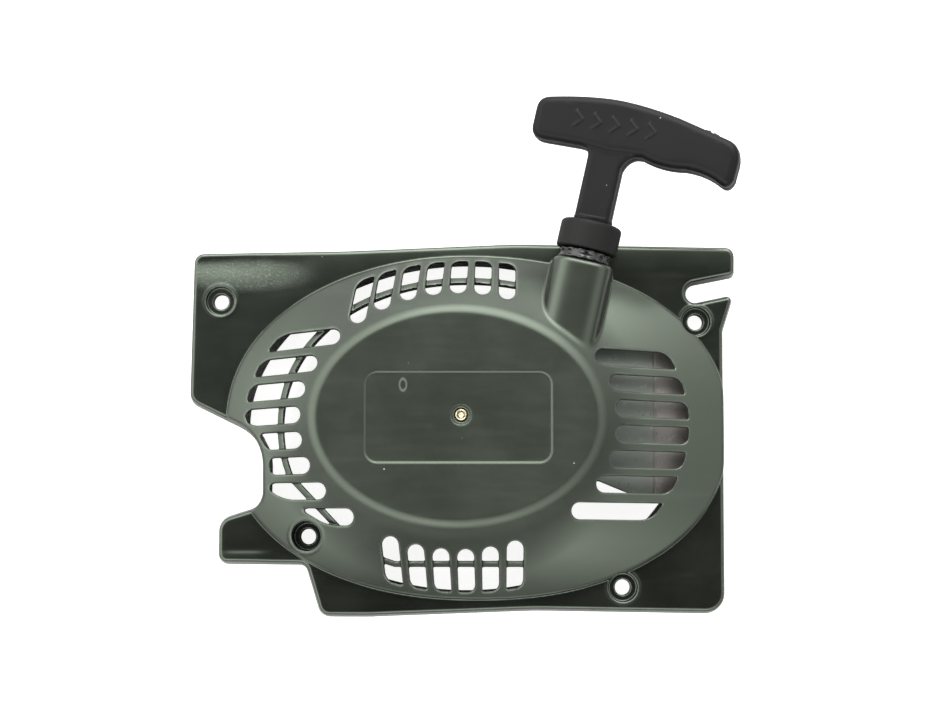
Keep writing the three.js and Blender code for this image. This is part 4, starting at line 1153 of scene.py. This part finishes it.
# name, field, low and high corner, pitch, frame, body, material, node
MOULDED = [
    ("grip_body", grip_field, (-32, -11, -7.5), (52.5, 50.5, 7.8), 0.3, HANDLE_FRAME,
     "handle", grip, "handle_grip"),
    ("collar_body", collar_field, (-12.6, -11.7, -12.6), (12.6, 0.8, 12.6), 0.25, HANDLE_FRAME,
     "handle", rubber, "handle_collar"),
    ("knot_washer_body", knot_washer_field, (-5, 29.8, -5), (5, 31.8, 5), 0.15, HANDLE_FRAME,
     "handle", zinc, "knot_washer"),
    ("bush_body", bush_field, (-11.2, 46.2, -11.2), (11.2, 73.6, 11.2), 0.22, ROPE_FRAME,
     "cover", gloss, "rope_guide_bush"),
    ("pulley_body", pulley_field, (-38.8, -38.8, 5.8), (38.8, 38.8, 33.8), 0.4, REEL_FRAME,
     "reel", nylon, "rope_pulley"),
    ("spring_case_body", case_field, (-47.3, -34.8, 27), (47.3, 34.8, 34.8), 0.35, REEL_FRAME,
     "cover", nylon, "spring_case"),
    ("air_plate", baffle_field, (44, -33, 3), (94, 37, 31), 0.4, REEL_FRAME,
     "cover", air_plate, "air_baffle_plate"),
    ("pulley_screw_body", pulley_screw_field, (-5.5, -5.5, 7.4), (5.5, 5.5, 29.5), 0.15, REEL_FRAME,
     "cover", zinc, "pulley_screw"),
    ("pulley_washer_body", washer_field, (-9.7, -9.7, 10.6), (9.7, 9.7, 12.9), 0.2, REEL_FRAME,
     "cover", zinc, "pulley_washer"),
    ("insert_body", insert_field, (-3.8, -3.8, 12.5), (3.8, 3.8, 37.3), 0.12, REEL_FRAME,
     "cover", brass, "post_insert"),
]
for name, field, low, high, pitch, place, body, material, node in MOULDED:
    add(skin(name, field, low, high, pitch, place), body, material, node)

screw_low, screw_high = (-3.2, -3.2, -2.2), (3.2, 3.2, 5.5)
screw_mesh = skin("screw", small_screw_field, screw_low, screw_high, 0.12, Matrix.Scale(MM, 4)).data
SMALL_SCREWS = [f"spring_case_screw_{side}" for side in ("left", "right")]
SMALL_SCREWS += [f"baffle_screw_{i}" for i in (1, 2, 3)]
for node in SMALL_SCREWS:
    low, high = (Vector(corner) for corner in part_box(node))
    mesh = screw_mesh.copy()
    seat = low.z + SMALL_HEAD_HEIGHT * MM
    mesh.transform(Matrix.Translation(((low.x + high.x) / 2, (low.y + high.y) / 2, seat)))
    add(bpy.data.objects.new(node + "_body", mesh), "cover", zinc, node)
bpy.data.meshes.remove(screw_mesh)

LEAD_START, LEAD_END = -2, 115.5
BLEND_START, BLEND_END = 6.0, 66.0  # the stretch that grows with the pull, along the rope line
stations = [
    *np.linspace(LEAD_START, BLEND_START - 0.5, 8),
    *np.linspace(BLEND_START, BLEND_END, 170),
    *np.linspace(BLEND_END + 0.5, LEAD_END, 50),
]
lead = tube("rope_run", [(0, along, 0) for along in stations], ROPE_RADIUS, 20, ROPE_FRAME)
add(lead, None, rope, "rope_lead")
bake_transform(lead)

winding = tube("rope_turns", winding_path(), ROPE_RADIUS - 0.1, 16, REEL_FRAME)
add(winding, "reel", wound_rope, "rope_winding")
KNOT_AWAY, KNOT_Z = 21.0, 17.2
knot_place = (KNOT_AWAY * math.cos(KNOT_ANGLE), KNOT_AWAY * math.sin(KNOT_ANGLE), KNOT_Z)
reel_knot = tube("pulley_knot_body", knot_path(0.62, knot_place), 1.15, 12, REEL_FRAME)
add(reel_knot, "reel", wound_rope, "pulley_knot")
grip_knot = tube("handle_knot_body", knot_path(0.82, (0, 36, 0)), 1.5, 12, HANDLE_FRAME)
add(grip_knot, "rope_end", wound_rope, "handle_knot")
add(spring_strip(), "cover", spring_metal, "recoil_spring")

# ---- stage


CAMERA_AIM = (5.27, 24.54, 8)  # in the reel's frame
CAMERA_TILT = math.radians(5)
CAMERA_AWAY = 0.9
FLOOR_HALF, FLOOR_DROP = 3.0, 0.0005


def camera():
    lens = bpy.data.cameras.new("camera")
    lens.sensor_width = 36
    lens.lens = 87.45
    lens.clip_start, lens.clip_end = 0.05, 20
    seen = bpy.data.objects.new("camera", lens)
    bpy.context.scene.collection.objects.link(seen)
    away = Vector((0, -math.sin(CAMERA_TILT), math.cos(CAMERA_TILT)))
    seen.location = REEL_FRAME @ Vector(CAMERA_AIM) + away * CAMERA_AWAY
    seen.rotation_euler = (CAMERA_TILT, 0, 0)
    bpy.context.scene.camera = seen


def floor():
    mesh = bpy.data.meshes.new("floor")
    corners = [(x * FLOOR_HALF, y * FLOOR_HALF, 0) for x, y in ((-1, -1), (1, -1), (1, 1), (-1, 1))]
    mesh.from_pydata(corners, [], [(0, 1, 2, 3)])
    made = bpy.data.objects.new("floor", mesh)
    made.location.z = -FLOOR_DROP
    paper = Nodes("floor_paper", (0.45, 0.45, 0.445), 0.7, Emission_Color=(1, 1, 0.99, 1))
    seen = paper.node("ShaderNodeLightPath").outputs["Is Camera Ray"]
    paper.set("Emission Strength", paper.times(seen, 0.9))
    mesh.materials.append(paper.material)
    bpy.context.scene.collection.objects.link(made)


class WorldNodes(Nodes):
    """The same short calls on the world's node tree."""

    def __init__(self, name):
        world = bpy.data.worlds.new(name)
        bpy.context.scene.world = world
        world.use_nodes = True
        self.tree = world.node_tree
        self.shader = self.tree.nodes["Background"]
        self.position = self.node("ShaderNodeTexCoord").outputs["Generated"]


def surroundings():
    """A white tent round the object, open above and towards the camera, with its lights behind."""
    made = WorldNodes("studio")
    x, y, z = (made.axis(i) for i in range(3))
    walls = made.math("MULTIPLY_ADD", y, 0.6, made.math("MULTIPLY_ADD", x, -1.5, 2.9))
    sideways = made.math("SUBTRACT", x, 0.14)
    key = made.times(made.ramp(y, 0.35, 0.8), made.ramp(made.math("ABSOLUTE", sideways), 0.6, 0.1))
    walls = made.math("MULTIPLY_ADD", key, 6.8, walls)
    leaning = made.math("MULTIPLY_ADD", made.math("ABSOLUTE", y), -0.12, z)
    opening = made.ramp(leaning, 0.95, 0.76)
    horizon = made.ramp(z, 0.1, 0.52, made.ramp(y, -0.3, 0.3, 0.06, 0.45), 1)
    light = made.times(walls, made.times(opening, horizon))
    fill = made.times(made.ramp(y, -0.45, -0.8, 0, 2.4), made.ramp(z, 0.38, 0.56))
    fill = made.times(fill, made.ramp(z, 0.85, 0.7))
    light = made.plus(light, fill)
    towards_key = made.math("MULTIPLY_ADD", x, -0.4, y)
    light = made.plus(light, made.ramp(towards_key, -0.05, 0.2, 0.03, 0.22))
    seen = made.node("ShaderNodeLightPath").outputs["Is Camera Ray"]
    made.set("Strength", made.math("MAXIMUM", light, seen))
    made.set("Color", (1, 1, 1, 1))


camera()
floor()
surroundings()
bpy.context.scene.view_settings.view_transform = "Standard"
